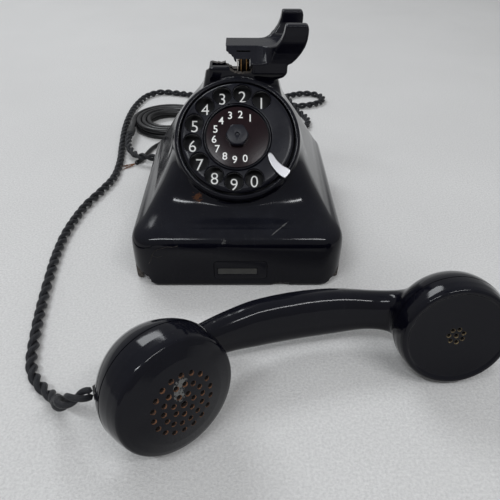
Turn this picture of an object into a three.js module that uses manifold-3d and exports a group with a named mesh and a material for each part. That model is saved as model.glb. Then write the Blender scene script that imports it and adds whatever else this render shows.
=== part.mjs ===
// Rotary desk telephone with its handset off the hook. Millimetres, +Z up, front toward -Y.
import * as THREE from 'three';
import { mergeVertices } from 'three/addons/utils/BufferGeometryUtils.js';
import Module from 'manifold-3d';

const wasm = await Module();
wasm.setup();
const { Manifold, CrossSection } = wasm;

// ---- driving dimensions -------------------------------------------------------------------------
const CLEAR = 0.3;                                    // gap between parts that touch
const BODY = { halfW: 76.4, halfL: 91, wall: 3.6 };
const DIAL = { y: -41, z: 96.7, tilt: 41.3 };         // centre of the finger wheel, normal's elevation
const WHEEL = { r: 40.5, thick: 2.8, holeR: 6.5, holeRing: 32.5, first: 57.8, step: 26, seatR: 24.6 };
const BEZEL = { inner: WHEEL.r + 1.2, outer: WHEEL.r + 4.7, wellR: WHEEL.r + 2.1 };
const HOUSING = { top: 4.5, r: BEZEL.outer + 0.4, ledge: 9.9, throatR: WHEEL.r - 2 };
const SLOT = { x0: -18.6, x1: 28, y0: 0.5, y1: 12.5 };  // neck opening that guides the cradle
const NECK = { top: 134.5, rimBottom: 126, halfW: 28.8, aside: 3, y0: -4, y1: 17 };
const FORK = { bar: 148.3, tip: 166.5, under: 137.4, travel: 2.5, mid: 11.5, gap: 36, prong: 8 };
const PLUG = { x0: 9.4, x1: 27.2, bottom: 114 };
const LABEL = { x0: -17, x1: 21.5, z0: 7, z1: 23.5, depth: 1.7 };
const SCREWS = [[-1, -1], [1, -1], [-1, 1], [1, 1]].map(([x, y]) => [x * (BODY.halfW - 18.4), y * (BODY.halfL - 19)]);
const PLATE = { z0: 2.6, z1: 4.2 };
const OUTLETS = { x: 40, z: 13, boreR: 4.5, end: BODY.halfL + 3.6 };
const GONG = { x: 33, y: 46, r: 25, z0: 20, z1: 32 };
const PIVOT = { x: 0, y: 8, r: 1.2 };
const PLUNGER = { x: 22, y: 6.5, r: 2.6, collar: 98.5, seat: 84 };
const HANDSET = { x: -28, y: -227.7, yaw: 16.4, tilt: 9.5, dip: 1, span: 161.1 };
const MOUTH = { turn: 21, seam: 16, seamR: 35.5, dome: 4.8 };
const EAR = { turn: -14, seam: 12, seamR: 33.6, dish: 2.6 };
const CORD = { twist: 3.7, round: 2.9, core: 2.2 };     // radii: twisted pair, sheathed lead, its inner core
const ORIGIN = { x: 41.59, y: -76.22 };                 // centre of the whole box, cords left out

// ---- solid helpers ------------------------------------------------------------------------------
const area = (p) => p.reduce((s, a, i) => {
  const b = p[(i + 1) % p.length];
  return s + a[0] * b[1] - b[0] * a[1];
}, 0);
const section = (pts) => new CrossSection([area(pts) < 0 ? [...pts].reverse() : pts]);
const box = (x0, x1, y0, y1, z0, z1) =>
  Manifold.cube([x1 - x0, y1 - y0, z1 - z0]).translate([x0, y0, z0]);
const rod = (r, z0, z1, n = 32, r2 = r) => Manifold.cylinder(z1 - z0, r, r2, n).translate([0, 0, z0]);
const lathe = (pts, n = 64) => Manifold.revolve(section(pts), n);
const prism = (pts, z0, z1) => Manifold.extrude(section(pts), z1 - z0).translate([0, 0, z0]);
const union = (...list) => Manifold.union(list.flat());
// a prism whose outline is drawn in X and Z and which runs along Y
const prismXZ = (pts, y0, y1) => prism(pts, -y1, -y0).rotate([90, 0, 0]);
// a prism whose outline is drawn in Y and Z and which runs along X
const prismYZ = (pts, x0, x1) => prism(pts, x0, x1).rotate([90, 0, 90]);
const alongX = (m) => m.rotate([0, 90, 0]);
const alongY = (m) => m.rotate([-90, 0, 0]);
const inDial = (m) => m.rotate([90 - DIAL.tilt, 0, 0]).translate([0, DIAL.y, DIAL.z]);
const polar = (r, deg) => [r * Math.cos(deg * Math.PI / 180), r * Math.sin(deg * Math.PI / 180)];

function loft(rings) {                                // closed skin through rings of equal length
  const n = rings[0].length, verts = rings.flat(2), tris = [];
  for (let k = 0; k + 1 < rings.length; k++) for (let i = 0; i < n; i++) {
    const j = (i + 1) % n, a = k * n + i, b = k * n + j, c = a + n, d = b + n;
    tris.push(a, b, d, a, d, c);
  }
  const ends = [[0, true], [rings.length - 1, false]];
  for (const [k, flip] of ends) {
    const mid = [0, 1, 2].map((q) => rings[k].reduce((s, p) => s + p[q], 0) / n);
    const m = verts.length / 3;
    verts.push(...mid);
    for (let i = 0; i < n; i++) {
      const a = k * n + i, b = k * n + (i + 1) % n;
      tris.push(...(flip ? [b, a, m] : [a, b, m]));
    }
  }
  return new Manifold(new wasm.Mesh({
    numProp: 3, vertProperties: new Float32Array(verts), triVerts: new Uint32Array(tris),
  }));
}

function roundRect(z, hx, y0, y1, r, per = 8, flare = 0) {       // counter-clockwise ring seen from above
  const pts = [];
  const corners = [[hx - r, y1 - r, 0], [r - hx, y1 - r, 90], [r - hx, y0 + r, 180], [hx - r, y0 + r, 270]];
  for (const [cx, cy, a0] of corners) for (let i = 0; i < per; i++) {
    const [x, y] = polar(r, a0 + 90 * i / (per - 1));
    const back = (cy + y - y0) / (y1 - y0);
    pts.push([(cx + x) * (1 + back * flare / hx), cy + y, z]);
  }
  return pts;
}

function tube(points, r, sides = 8, steps = 60, closedEnds = true) {
  const curve = new THREE.CatmullRomCurve3(points.map((p) => new THREE.Vector3(...p)), false, 'centripetal');
  const frames = curve.computeFrenetFrames(steps, false), rings = [];
  for (let k = 0; k <= steps; k++) {
    const c = curve.getPointAt(k / steps), u = frames.normals[k], v = frames.binormals[k], ring = [];
    for (let i = 0; i < sides; i++) {
      const [a, b] = polar(r, 360 * i / sides);
      ring.push([c.x + a * u.x + b * v.x, c.y + a * u.y + b * v.y, c.z + a * u.z + b * v.z]);
    }
    rings.push(ring);
  }
  return closedEnds ? loft(rings) : rings;
}

// ---- materials ----------------------------------------------------------------------------------
const paint = (name, color, metalness, roughness) => {
  const m = new THREE.MeshStandardMaterial({ color, metalness, roughness });
  m.name = name;
  return m;
};
const MAT = {
  bakelite: () => paint('bakelite', 0x0d0e12, 0, 0.18),
  enamel: () => paint('enamel', 0x101014, 0.1, 0.35),
  card: () => paint('dial_card', 0x2b1519, 0, 0.45),
  steel: () => paint('steel', 0x8b8f94, 1, 0.35),
  zinc: () => paint('zinc_plate', 0x77797c, 0.8, 0.5),
  chrome: () => paint('chrome', 0xe8eaee, 1, 0.08),
  brass: () => paint('brass', 0xb08a45, 1, 0.35),
  gong: () => paint('gong_steel', 0xa7a9ab, 1, 0.25),
  rubber: () => paint('rubber', 0x121212, 0, 0.85),
  winding: () => paint('winding', 0x5b2f1c, 0, 0.6),
  phenolic: () => paint('phenolic', 0x4a2a18, 0, 0.6),
  paper: () => paint('paper', 0xb9b7b0, 0, 0.9),
  capsule: () => paint('capsule_aluminium', 0x9a9c9e, 1, 0.45),
  twist: () => paint('cord_twist', 0x17171a, 0, 0.6),
  sheath: () => paint('cord_sheath', 0x0e0e10, 0, 0.45),
};

const phone = new THREE.Group();
phone.name = 'rotary_telephone';

function node(name, solid, material) {
  const mesh = solid.asOriginal().simplify(0.03).translate([-ORIGIN.x, -ORIGIN.y, 0]).getMesh();
  const step = mesh.numProp, pos = new Float32Array(mesh.vertProperties.length / step * 3);
  for (let i = 0; i < pos.length / 3; i++) for (let q = 0; q < 3; q++) {
    pos[3 * i + q] = mesh.vertProperties[step * i + q];
  }
  const geometry = new THREE.BufferGeometry();
  geometry.setAttribute('position', new THREE.BufferAttribute(pos, 3));
  geometry.setIndex(new THREE.BufferAttribute(new Uint32Array(mesh.triVerts), 1));
  geometry.computeVertexNormals();
  const item = new THREE.Mesh(geometry, MAT[material]());
  item.name = name;
  phone.add(item);
}

// ---- housing ------------------------------------------------------------------------------------
// skirt rings: height, inset at the sides, at the front and at the back, corner radius, flare at the back
const SKIRT = [
  [1, 0.8, 0.8, 0.8, 16, 0], [20, 0.2, 0.2, 0.2, 16, 0], [33, 0, 0, 0, 16.5, 0], [37, 0.6, 0.6, 0.4, 16.5, 0],
  [40, 2, 2.1, 1.2, 17, 0], [42.4, 4.6, 4.6, 2.4, 17.5, 1.2], [44.6, 8, 7.8, 3.6, 18, 3]];
// waist rings: height, way from skirt to neck at the sides, at the front and at the back, corner radius, flare
const WAIST = [
  [47, 0.055, 0.072, 0.018, 18, 3.8], [50, 0.12, 0.152, 0.04, 18, 4.6], [53, 0.17, 0.21, 0.063, 18, 5],
  [56.5, 0.222, 0.255, 0.094, 18, 5.4], [61, 0.288, 0.293, 0.138, 18, 5.6], [72, 0.433, 0.35, 0.259, 19, 5.4],
  [84, 0.582, 0.432, 0.419, 19, 4], [96, 0.731, 0.546, 0.589, 18, 2], [106, 0.861, 0.697, 0.73, 16, 0],
  [114, 0.95, 0.849, 0.86, 13, 0], [119, 0.985, 0.968, 0.95, 10, 0], [121.5, 1, 1, 1, 9, 0]];
const NECK_BACK = 20.5;                               // the housing's top reaches this far behind the neck
const between = (a, b, t) => a + (b - a) * t;
// height, half width, front, back, corner radius and flare of every ring of the housing
const LEVELS = SKIRT.map(([z, side, front, back, r, flare]) =>
  [z, BODY.halfW - side, front - BODY.halfL, BODY.halfL - back, r, flare]);
const [, shoulderW, shoulderFront, shoulderBack] = LEVELS[LEVELS.length - 1];
LEVELS.push(...WAIST.map(([z, side, front, back, r, flare]) => [z, between(shoulderW, NECK.halfW - 0.6, side),
  between(shoulderFront, NECK.y0, front), between(shoulderBack, NECK.y1 + NECK_BACK, back), r, flare]));
const FLAT_TOP = 126.2;
// the neck stands NECK.aside to the right of the dial, and the housing leans over to it
const leaning = (rings) => rings.map((ring) => ring.map(([x, y, z]) =>
  [x + NECK.aside * Math.min(1, Math.max(0, (z - 96) / 16)), y, z]));

function housingOuter() {
  const rings = LEVELS.map(([z, hx, y0, y1, r, flare]) => roundRect(z, hx, y0, y1, r, 8, flare));
  rings.push(roundRect(FLAT_TOP - 2, 26.6, NECK.y0 + 0.4, 32, 8), roundRect(FLAT_TOP, 24, NECK.y0 + 2, 27, 7));
  const collar = inDial(rod(HOUSING.r + 6.4, -34, -HOUSING.top - 8, 56, HOUSING.r + 1)
    .add(rod(HOUSING.r + 1, -HOUSING.top - 8.01, -HOUSING.top - 1, 56, HOUSING.r))
    .add(rod(HOUSING.r, -HOUSING.top - 1.01, -HOUSING.top, 56, HOUSING.r - 0.6)));
  return union(loft(leaning(rings)), collar, neck(), neckRim());
}

function neck() {                                     // straight block under the rim, left side broken low
  const block = loft(leaning([
    roundRect(104, NECK.halfW + 4, NECK.y0, NECK.y1 + 6, 7), roundRect(112, NECK.halfW + 2, NECK.y0, NECK.y1 + 4, 7),
    roundRect(119, NECK.halfW, NECK.y0, NECK.y1 + 1, 6), roundRect(128, NECK.halfW - 2, NECK.y0, NECK.y1, 5),
    roundRect(132.5, NECK.halfW - 3, NECK.y0, NECK.y1, 5)]));
  return block.subtract(box(-40, -20.6, -20, 40, 131.6, 140)).subtract(box(-40, -20.6, -1, 40, 127, 140));
}

function neckRim() {                                  // lip that the cradle stands over, whole on the right
  const outline = [[-20.6, NECK.top], [34, NECK.top], [36.4, NECK.top - 0.6], [36.8, NECK.top - 2.6],
    [36.2, 129.6], [34.2, 127.2], [31, NECK.rimBottom], [-20.6, NECK.rimBottom]];
  return prismXZ(outline, NECK.y0 - 1, NECK.y1);
}

function housingInner() {
  const t = BODY.wall, below = LEVELS.filter(([z]) => z < 110 && z !== 37 && z !== 42.4);
  const rings = below.map(([z, hx, y0, y1, r, flare]) =>
    roundRect(z - (z > 41 ? 1.6 : 0), hx - t, y0 + t, y1 - t, Math.max(r - t, 2), 5, flare));
  const [, hx, y0, y1, r] = LEVELS[0];
  rings.unshift(roundRect(-1, hx - t, y0 + t, y1 - t, r - t, 5));
  return loft(leaning(rings));
}

function chips() {                                    // breaks along the lower edge and at the neck
  const left = [[-90, -2], [-57.5, -2], [-58.6, 1.6], [-63.4, 4.4], [-64.6, 10.4], [-70, 12], [-74.4, 14.6], [-90, 15.4]];
  const right = [[90, -2], [61, -2], [65, 2.8], [70, 6.4], [73.2, 11], [75.2, 14.4], [90, 15.4]];
  const edge = [[23, -2], [40, -2], [37.6, 3], [31, 4], [26, 3.2]];
  const rim = [[-8, 136], [-5.6, 133.4], [-3.4, 131.2], [1, 130.2], [9.2, 130.4], [11, 133], [12, 136]];
  const rimBack = [[-24, 133], [-9.4, 133], [-7, 131.2], [-3.6, 128.8], [2, 128.2], [11, 128.6], [12, 131], [12, 136], [-24, 136]];
  const out = -BODY.halfL - 4;
  return union(prismXZ(left, out, out + 15), prismXZ(right, out, out + 16), prismXZ(edge, out, out + 9),
    prismXZ(rim, NECK.y0 - 3, SLOT.y0 + 0.4), prismXZ(rimBack, SLOT.y1 - 0.4, NECK.y1 + 1));
}

function caseShell() {
  const outer = housingOuter();
  const posts = union(SCREWS.map(([x, y]) => rod(5.5, PLATE.z1 + CLEAR, 60, 16).translate([x, y, 0])));
  const well = inDial(union(rod(HOUSING.r + 1, -HOUSING.top, 60, 56), rod(BEZEL.wellR, -HOUSING.ledge, 1, 56),
    rod(HOUSING.throatR, -40, 1, 48)));
  let s = outer.subtract(housingInner()).add(posts.intersect(outer)).subtract(well);
  s = s.subtract(box(SLOT.x0, SLOT.x1, SLOT.y0, SLOT.y1, 100, 140));
  s = s.subtract(labelPocket(LABEL.depth, 0));
  s = s.subtract(union(SCREWS.map(([x, y]) => rod(2.1, 0, 18, 12).translate([x, y, 0]))));
  for (const side of [-1, 1]) {
    s = s.subtract(alongY(rod(OUTLETS.boreR, BODY.halfL - 11, BODY.halfL + 5, 20))
      .translate([side * OUTLETS.x, 0, OUTLETS.z]));
  }
  return s.subtract(chips()).decompose().sort((a, b) => b.volume() - a.volume())[0];
}

function labelPocket(depth, inset) {
  const cx = (LABEL.x0 + LABEL.x1) / 2, w = (LABEL.x1 - LABEL.x0) / 2 - inset;
  const ring = roundRect(0, w, LABEL.z0 + inset, LABEL.z1 - inset, 3.4 - inset).map(([x, y]) => [x + cx, y]);
  return prismXZ(ring, -BODY.halfL - 4, -BODY.halfL + depth + 0.2);
}

function label() {
  const back = -BODY.halfL + LABEL.depth + 0.2 - CLEAR;
  const holder = labelPocket(LABEL.depth - CLEAR, CLEAR).intersect(box(-40, 40, back - 1, back, 0, 40))
    .subtract(box(-14.3, 14.3, back - 4, back - 0.45, 11.2, 17));
  node('label_holder', holder, 'bakelite');
  node('label_strip', box(-14, 14, back - 0.9, back - 0.45 - 0.1, 11.5, 16.7), 'paper');
}

// ---- base ---------------------------------------------------------------------------------------
function base() {
  const t = BODY.wall + 0.6;
  const [, hx, y0, y1] = LEVELS[0];
  let plate = loft([PLATE.z0, PLATE.z1].map((z) => roundRect(z, hx - t, y0 + t, y1 - t, 12, 5)));
  for (const [x, y] of SCREWS) plate = plate.subtract(rod(2.1, 0, 9, 12).translate([x, y, 0]));
  for (const x of [-30, 0, 30]) {                      // stamped slots that let the bell sound out
    plate = plate.subtract(loft([2, 6].map((z) => roundRect(z, 3, -20, 20, 2.9, 5))).translate([x, 46, 0]));
  }
  node('base_plate', plate, 'zinc');
  SCREWS.forEach(([x, y], i) => {
    const foot = lathe([[2.2, 0.9], [4.2, 0.9], [4.2, 0], [6.8, 0], [7.8, 0.8], [7.8, 2.3], [2.2, 2.3]], 14);
    const screw = lathe([[0, 0.1], [2.8, 0.1], [3.8, 0.3], [3.8, 0.65], [1.8, 0.65], [1.8, 16], [0, 16.8]], 12);
    node(`foot_${i + 1}`, foot.translate([x, y, 0]), 'rubber');
    node(`base_screw_${i + 1}`, screw.translate([x, y, 0]), 'steel');
  });
}

// ---- dial ---------------------------------------------------------------------------------------
function dial() {
  const holes = [...Array(10)].map((_, k) => {
    const [x, y] = polar(WHEEL.holeRing, WHEEL.first + WHEEL.step * k);
    return union(rod(WHEEL.holeR, -6, 1, 16), rod(WHEEL.holeR, -0.8, 0.01, 16, WHEEL.holeR + 0.8)).translate([x, y, 0]);
  });
  const { r, seatR, thick } = WHEEL, b = BEZEL;
  const wheel = lathe([[3, -thick], [3, -1.4], [seatR, -1.4], [seatR, 0], [r - 3.1, 0], [r - 1.5, -0.35],
    [r - 0.5, -1.2], [r, -2.2], [r, -thick]], 52).subtract(union(holes));
  node('finger_wheel', inDial(wheel), 'bakelite');
  node('centre_card', inDial(lathe([[0, -1.1], [seatR - 2.4, -1.1], [seatR - 2.4, -0.3], [0, 0]], 48)), 'card');
  const ring = [[seatR - 2, -1.1], [seatR - CLEAR, -1.1], [seatR - CLEAR, 0.3], [seatR - 0.9, 1], [seatR - 1.6, 0.9]];
  node('card_ring', inDial(lathe(ring, 44)), 'bakelite');
  const hex = Manifold.cylinder(5.6, 8.2, 8.2, 6).intersect(rod(8.9, -1, 5.7, 30, 7.5))
    .subtract(rod(1.1, 4.9, 6, 10, 1.6));
  node('centre_nut', inDial(hex.translate([0, 0, CLEAR])), 'bakelite');
  const collar = lathe([[b.inner, -2.5], [b.inner + 1.1, -2.1], [b.outer - 0.6, -2.7], [b.outer, -3.8],
    [b.outer, -HOUSING.top + CLEAR], [b.wellR - CLEAR, -HOUSING.top + CLEAR], [b.wellR - CLEAR, -9.4], [b.inner, -9.4]], 52);
  node('dial_bezel', inDial(collar), 'bakelite');
  const plate = lathe([[4.4, -9.6], [b.inner - 0.6, -9.6], [b.inner - 0.6, -8.4], [4.4, -8.4]], 40);
  node('number_plate', inDial(plate), 'enamel');
  fingerStop();
}

function fingerStop() {                               // curved blade over the wheel, foot on the bezel
  const blade = [[22.3, -12.3], [23.4, -12], [25.2, -13.6], [28, -17.6], [31.6, -21], [36.9, -24.2], [37.4, -25],
    [34, -30], [33, -30.3], [29.4, -28], [26, -24.2], [23.4, -20], [21.9, -15.6], [21.7, -13.2]];
  const cs = section(blade);
  const body = union(Manifold.extrude(cs, 1.1).translate([0, 0, 1]),
    Manifold.extrude(cs.offset(-0.7), 0.7).translate([0, 0, 2.05]));
  const foot = Manifold.extrude(cs, 4).translate([0, 0, -1.8])
    .intersect(rod(BEZEL.outer - 0.8, -1.75, 1.2, 60).subtract(rod(BEZEL.inner + CLEAR, -3, 3, 60)));
  node('finger_stop', inDial(union(body, foot)), 'chrome');
}

function spiral(r0, r1, turns, t, z0, z1) {
  const out = [], inn = [], n = 36;
  for (let i = 0; i <= n; i++) {
    const r = r0 + (r1 - r0) * i / n, a = 360 * turns * i / n;
    out.push(polar(r + t / 2, a));
    inn.push(polar(r - t / 2, a));
  }
  return prism([...out, ...inn.reverse()], z0, z1);
}

function gearOutline(teeth, r, h) {
  const pts = [];
  for (let i = 0; i < teeth; i++) for (const [f, rr] of [[0, r - h], [0.3, r], [0.55, r], [0.85, r - h]]) {
    pts.push(polar(rr, 360 * (i + f) / teeth));
  }
  return pts;
}

const GOV = { y: -21.4, z: -16 };                     // governor axis in the dial's frame
function movement() {
  const rim = HOUSING.throatR - 0.7;
  const cup = lathe([[0, -26.5], [rim - 4.8, -26.5], [rim, -14], [rim, -10.2], [rim - 1.2, -10.2],
    [rim - 1.2, -13.7], [rim - 5.6, -25.3], [0, -25.3]], 28);
  node('dial_cup', inDial(cup), 'zinc');
  const shaft = lathe([[0, -24.9], [2.4, -24.9], [2.4, -5.6], [8, -5.6], [8, -3.1], [0, -3.1]], 20);
  node('dial_shaft', inDial(shaft), 'steel');
  node('drive_gear', inDial(prism(gearOutline(30, 19, 1.5), -17, -15).subtract(rod(2.7, -18, -14, 16))), 'brass');
  node('return_spring', inDial(spiral(3.1, 15, 3.5, 0.8, -22.4, -19.4)), 'steel');
  const cam = prism([...Array(36)].map((_, i) => polar(i % 4 < 2 ? 8.6 : 7.4, i * 10)), -12.6, -11.2)
    .subtract(rod(2.7, -13, -11, 16));
  node('pulse_cam', inDial(cam), 'phenolic');
  const threads = [[0, -15.5], [1.2, -15.5], [1.2, -7.4]];
  for (let i = 0; i < 5; i++) threads.push([2.1, -6.4 + 2.4 * i], [1.5, -5.2 + 2.4 * i]);
  threads.push([1.2, 9], [1.2, 10], [4.1, 10.4], [4.1, 14], [1.2, 14.4], [1.2, 16], [0, 16]);
  const worm = alongX(lathe(threads, 12)).translate([0, GOV.y, GOV.z]);
  node('governor_worm', inDial(worm), 'brass');
  const leaf = (y) => union(box(-15, 9, y, y + 0.6, -14, -10.9), rod(1, -13.2, -11.6, 12).translate([8.1, y + 0.3, 0]));
  node('pulse_leaf', inDial(leaf(9.6)), 'brass');
  node('pulse_block', inDial(box(-20, -15.3, 8, 15, -14.4, -10.6)), 'phenolic');
}

// ---- cradle and hook switch ---------------------------------------------------------------------
function forkBody() {                                 // right horn whole, left end broken away
  const front = [[-8.5, FORK.bar], [20.5, FORK.bar], [24.4, 149.3], [27.8, 151.8], [30.6, 155.6], [32.4, 160.2],
    [33.2, 164.4], [33.4, FORK.tip - 0.8], [34.2, FORK.tip], [47.4, FORK.tip], [48.9, FORK.tip - 0.8],
    [49.4, 163], [49.1, 156.8], [47.7, 150.8], [45.4, 145.8], [42, 141.2], [38.6, 138.2], [36.4, FORK.under],
    [9.4, FORK.under], [9.4, 139.6], [3, 138.4], [0.8, 138.5], [-2, 139.5], [-2.6, 141.7], [-7.9, 145.2]];
  const f0 = FORK.mid - FORK.gap / 2, f1 = FORK.mid + FORK.gap / 2, p = FORK.prong;
  const side = [[-6.4, FORK.under], [f1 - 0.6, FORK.under], [f1 + 2, 144], [f1 + p - 1, 154], [f1 + p, 160],
    [f1 + p, FORK.tip - 1], [f1 + p - 1, FORK.tip], [f1 + 1, FORK.tip], [f1, FORK.tip - 1], [f1 - 0.6, 158],
    [25.6, 150.4], [24, FORK.bar + 0.3], [22.4, FORK.bar], [1, FORK.bar], [-0.8, FORK.bar + 0.3],
    [-2.6, 150.4], [f0 + 0.6, 158], [f0, FORK.tip - 1], [f0 - 1, FORK.tip], [f0 - p + 1, FORK.tip],
    [f0 - p, FORK.tip - 1], [f0 - p, 160], [f0 - p + 1, 154], [-9.4, 146], [-8, 141.5]];
  const body = prismXZ(front, -30, 50).intersect(prismYZ(side, -60, 60));
  const hollow = box(-0.6, 9.8, -20, 14, 130, 145.6);
  const plug = box(PLUG.x0, PLUG.x1, SLOT.y0 + 0.7, SLOT.y1 - 0.7, PLUG.bottom, FORK.under + 1);
  const apron = loft([[FORK.under + 1, 36.4], [131.4, 36.2], [130.4, 35]].map(([z, x1]) =>
    roundRect(z, (x1 - 10.6) / 2, -8.4, -5.5, 1.2, 4).map(([x, y, h]) => [x + (x1 + 10.6) / 2, y, h])).reverse());
  return union(body.subtract(hollow), plug, apron);
}

function hookSwitch() {
  const { x, y, r, collar, seat } = PLUNGER;
  const plunger = union(rod(r, 74, PLUG.bottom - CLEAR, 16), rod(6, collar, collar + 2, 20)).translate([x, y, 0]);
  node('hook_plunger', plunger, 'steel');
  const n = 60, turns = 4, z0 = seat + CLEAR + 0.7, z1 = collar - CLEAR - 0.7;
  const path = [...Array(n + 1)].map((_, i) => [...polar(4.4, 360 * turns * i / n).map((v, q) => v + (q ? y : x)),
    z0 + (z1 - z0) * i / n]);
  node('hook_spring', tube(path, 0.6, 4, 48), 'steel');
  const leg = (a) => box(a, a + 2, 5.4, 12, PLATE.z1 + CLEAR, seat);
  const frame = union(leg(15), leg(29), box(15, 31, 1, 12, seat - 2, seat)).subtract(
    rod(r + 0.4, seat - 4, seat + 1, 16).translate([x, y, 0]));
  node('hook_frame', frame, 'zinc');
  // contact leaves reach up into the broken gap of the neck
  const leaves = [[-0.2, 141.4], [2.4, 142.6], [6.4, 139.2]];
  leaves.forEach(([lx, top], i) => {
    const strip = box(lx, lx + 0.7, 3.4, 9.6, 98, top);
    const tip = alongX(rod(1.5, 0, 1, 12)).translate([lx + 0.69, 6.5, top - 4]);
    node(`hook_leaf_${i + 1}`, union(strip, tip), 'brass');
  });
  const block = union(box(-5, 9, 2.2, 14.2, 86, 97.7), box(-5, -3.4, 3.4, 9.6, 97, 104),
    box(0.8, 9, 10.3, 11.9, 97, 140.4), box(3, 9, 12.2, 14.2, PLATE.z1 + CLEAR, 87));
  node('hook_block', block, 'phenolic');
}

// ---- ringer and circuit -------------------------------------------------------------------------
function ringer() {
  const { x, y, r, z0, z1 } = GONG;
  const bell = lathe([[2.4, z1 - 1.4], [2.4, z1], [9, z1], [18, z1 - 2.6], [23.4, z1 - 7], [r, z0], [r - 1.5, z0],
    [22, z1 - 7.6], [17.2, z1 - 3.9], [8.8, z1 - 1.4]], 24);
  const post = lathe([[0, PLATE.z1 + CLEAR], [6, PLATE.z1 + CLEAR], [6, 7.4], [3, 7.4], [3, z1 - 1.4 - CLEAR],
    [2, z1 - 1.4 - CLEAR], [2, z1 + CLEAR], [4, z1 + CLEAR], [4, z1 + 1.8], [3, z1 + 2.6], [0, z1 + 2.6]], 12);
  [['left', -1], ['right', 1]].forEach(([side, s]) => {
    node(`gong_${side}`, bell.translate([s * x, y, 0]), 'gong');
    node(`gong_post_${side}`, post.translate([s * x, y, 0]), 'steel');
    const spool = alongY(lathe([[0, -7.7], [8.4, -7.7], [8.4, -6.6], [7.4, -6.6], [7.4, 2.6], [8.4, 2.6], [8.4, 3.6],
      [3, 3.6], [3, 4.6], [0, 4.6]], 14)).translate([s * 10.6, 0, 18]);
    node(`ringer_coil_${side}`, spool, 'winding');
  });
  const pin = rod(PIVOT.r, 8, 26, 12).add(rod(4, 8, 13.6, 16)).translate([PIVOT.x, PIVOT.y, 0]);
  node('ringer_yoke', union(box(-20, 20, -14, -8, PLATE.z1 + CLEAR, 27), box(-10, 10, -14, 12, PLATE.z1 + CLEAR, 8.4), pin), 'steel');
  const arm = union(box(-13, 13, 6.6, 9.6, 14, 22), rod(3.6, 14, 22, 16).translate([0, PIVOT.y, 0]),
    alongY(rod(1, 9, 44, 8)).translate([0, 0, 18]), Manifold.sphere(3.6, 12).translate([0, GONG.y, 22]),
    rod(1, 17.2, 21, 8).translate([0, 43.5, 0]));
  node('clapper', arm.subtract(rod(PIVOT.r + 0.35, 10, 26, 12).translate([0, PIVOT.y, 0])), 'steel');
}

function circuit() {
  const core = union(box(-63, -35, -52, -46, 5, 31), box(-63, -35, -18, -12, 5, 31), box(-63, -35, -46.1, -17.9, 5, 9));
  node('induction_core', core.translate([0, 0, PLATE.z1 + CLEAR - 5]), 'steel');
  node('induction_winding', alongY(rod(8.6, -45.6, -18.4, 24)).translate([-49, 0, 19.2]), 'winding');
  node('capacitor', loft([PLATE.z1 + CLEAR, 26, 27.4].map((z, i) =>
    roundRect(z, i === 2 ? 12 : 13, i === 2 ? -45 : -46, i === 2 ? -19 : -18, 3, 5))).translate([49, 0, 0]), 'zinc');
  const back = BODY.halfL - 11, head = [[0, 12], [3, 12], [3, 14.8], [2.2, 15.6], [0, 15.6]];
  const screws = [-11, 11].map((x) => lathe(head, 14).translate([x, back - 7, 0]));
  node('terminal_block', union(box(-22, 22, back - 14, back, PLATE.z1 + CLEAR, 13), ...screws), 'phenolic');
}

function grommet(side) {
  const b = BODY.halfL, r = OUTLETS.boreR - CLEAR;
  const ring = lathe([[2.4, b - 5], [r, b - 5], [r, b + 0.2], [r + 2, b + 0.2], [r + 1.8, b + 1.8],
    [r + 0.2, OUTLETS.end], [2.4, OUTLETS.end]], 16);
  return alongY(ring).translate([side * OUTLETS.x, 0, OUTLETS.z]);
}

// ---- handset ------------------------------------------------------------------------------------
// built with X from mouthpiece to earpiece and the caps facing -Y, then laid on its side
const atFace = (m, turn, x) => m.rotate([90, 0, turn]).translate([x, 0, 0]);
const lay = (m) => m.rotate([-HANDSET.tilt, 0, 0]).rotate([0, HANDSET.dip, 0]).rotate([0, 0, HANDSET.yaw])
  .translate([HANDSET.x, HANDSET.y, HANDSET.lift]);

// station along the handle: X, Y of the middle, half thickness, half width, heading in degrees
const GRIP = [
  [-4, 23, 14, 19, 62], [9, 35.4, 10.6, 13.8, 46], [22, 44, 9.6, 11.8, 27], [38, 50, 10.6, 12.8, 13], [56, 53.4, 11.6, 14.4, 5],
  [76, 54.2, 12.2, 15, -2], [96, 52.8, 12, 15, -6], [114, 49.6, 11.3, 14.2, -13], [130, 44.4, 10.4, 13.1, -23],
  [142, 37.8, 10.8, 14.4, -35], [153, 29, 13.4, 20, -47], [163, 17.4, 17, 26, -60]];

function gripRing([x, y, a, b, heading]) {
  const [tx, ty] = polar(1, heading), ring = [], n = 20;
  for (let i = 0; i < n; i++) {
    const [c, s] = polar(1, 360 * i / n);
    const p = c > 0 ? 2 : 2.7, k = (Math.abs(c) ** p + Math.abs(s) ** p) ** (-1 / p);
    const out = (c > 0 ? 1.12 : 0.86) * a * c * k, up = b * s * k * (c < 0 ? 1 : 0.97);
    ring.push([x - ty * out, y + tx * out, up]);      // out points to the back of the handle
  }
  return ring;
}

function gripStations() {
  const curve = [0, 1, 2, 3, 4].map((q) => GRIP.map((g) => g[q])), rings = [], n = 22;
  const at = (v, t) => {
    const i = Math.min(Math.floor(t), v.length - 2), f = t - i;
    const p0 = v[Math.max(i - 1, 0)], p1 = v[i], p2 = v[i + 1], p3 = v[Math.min(i + 2, v.length - 1)];
    return 0.5 * (2 * p1 + (p2 - p0) * f + (2 * p0 - 5 * p1 + 4 * p2 - p3) * f * f + (3 * p1 - p0 - 3 * p2 + p3) * f ** 3);
  };
  for (let k = 0; k <= n; k++) rings.push(gripRing(curve.map((v) => at(v, (GRIP.length - 1) * k / n))));
  return rings;
}

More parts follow.
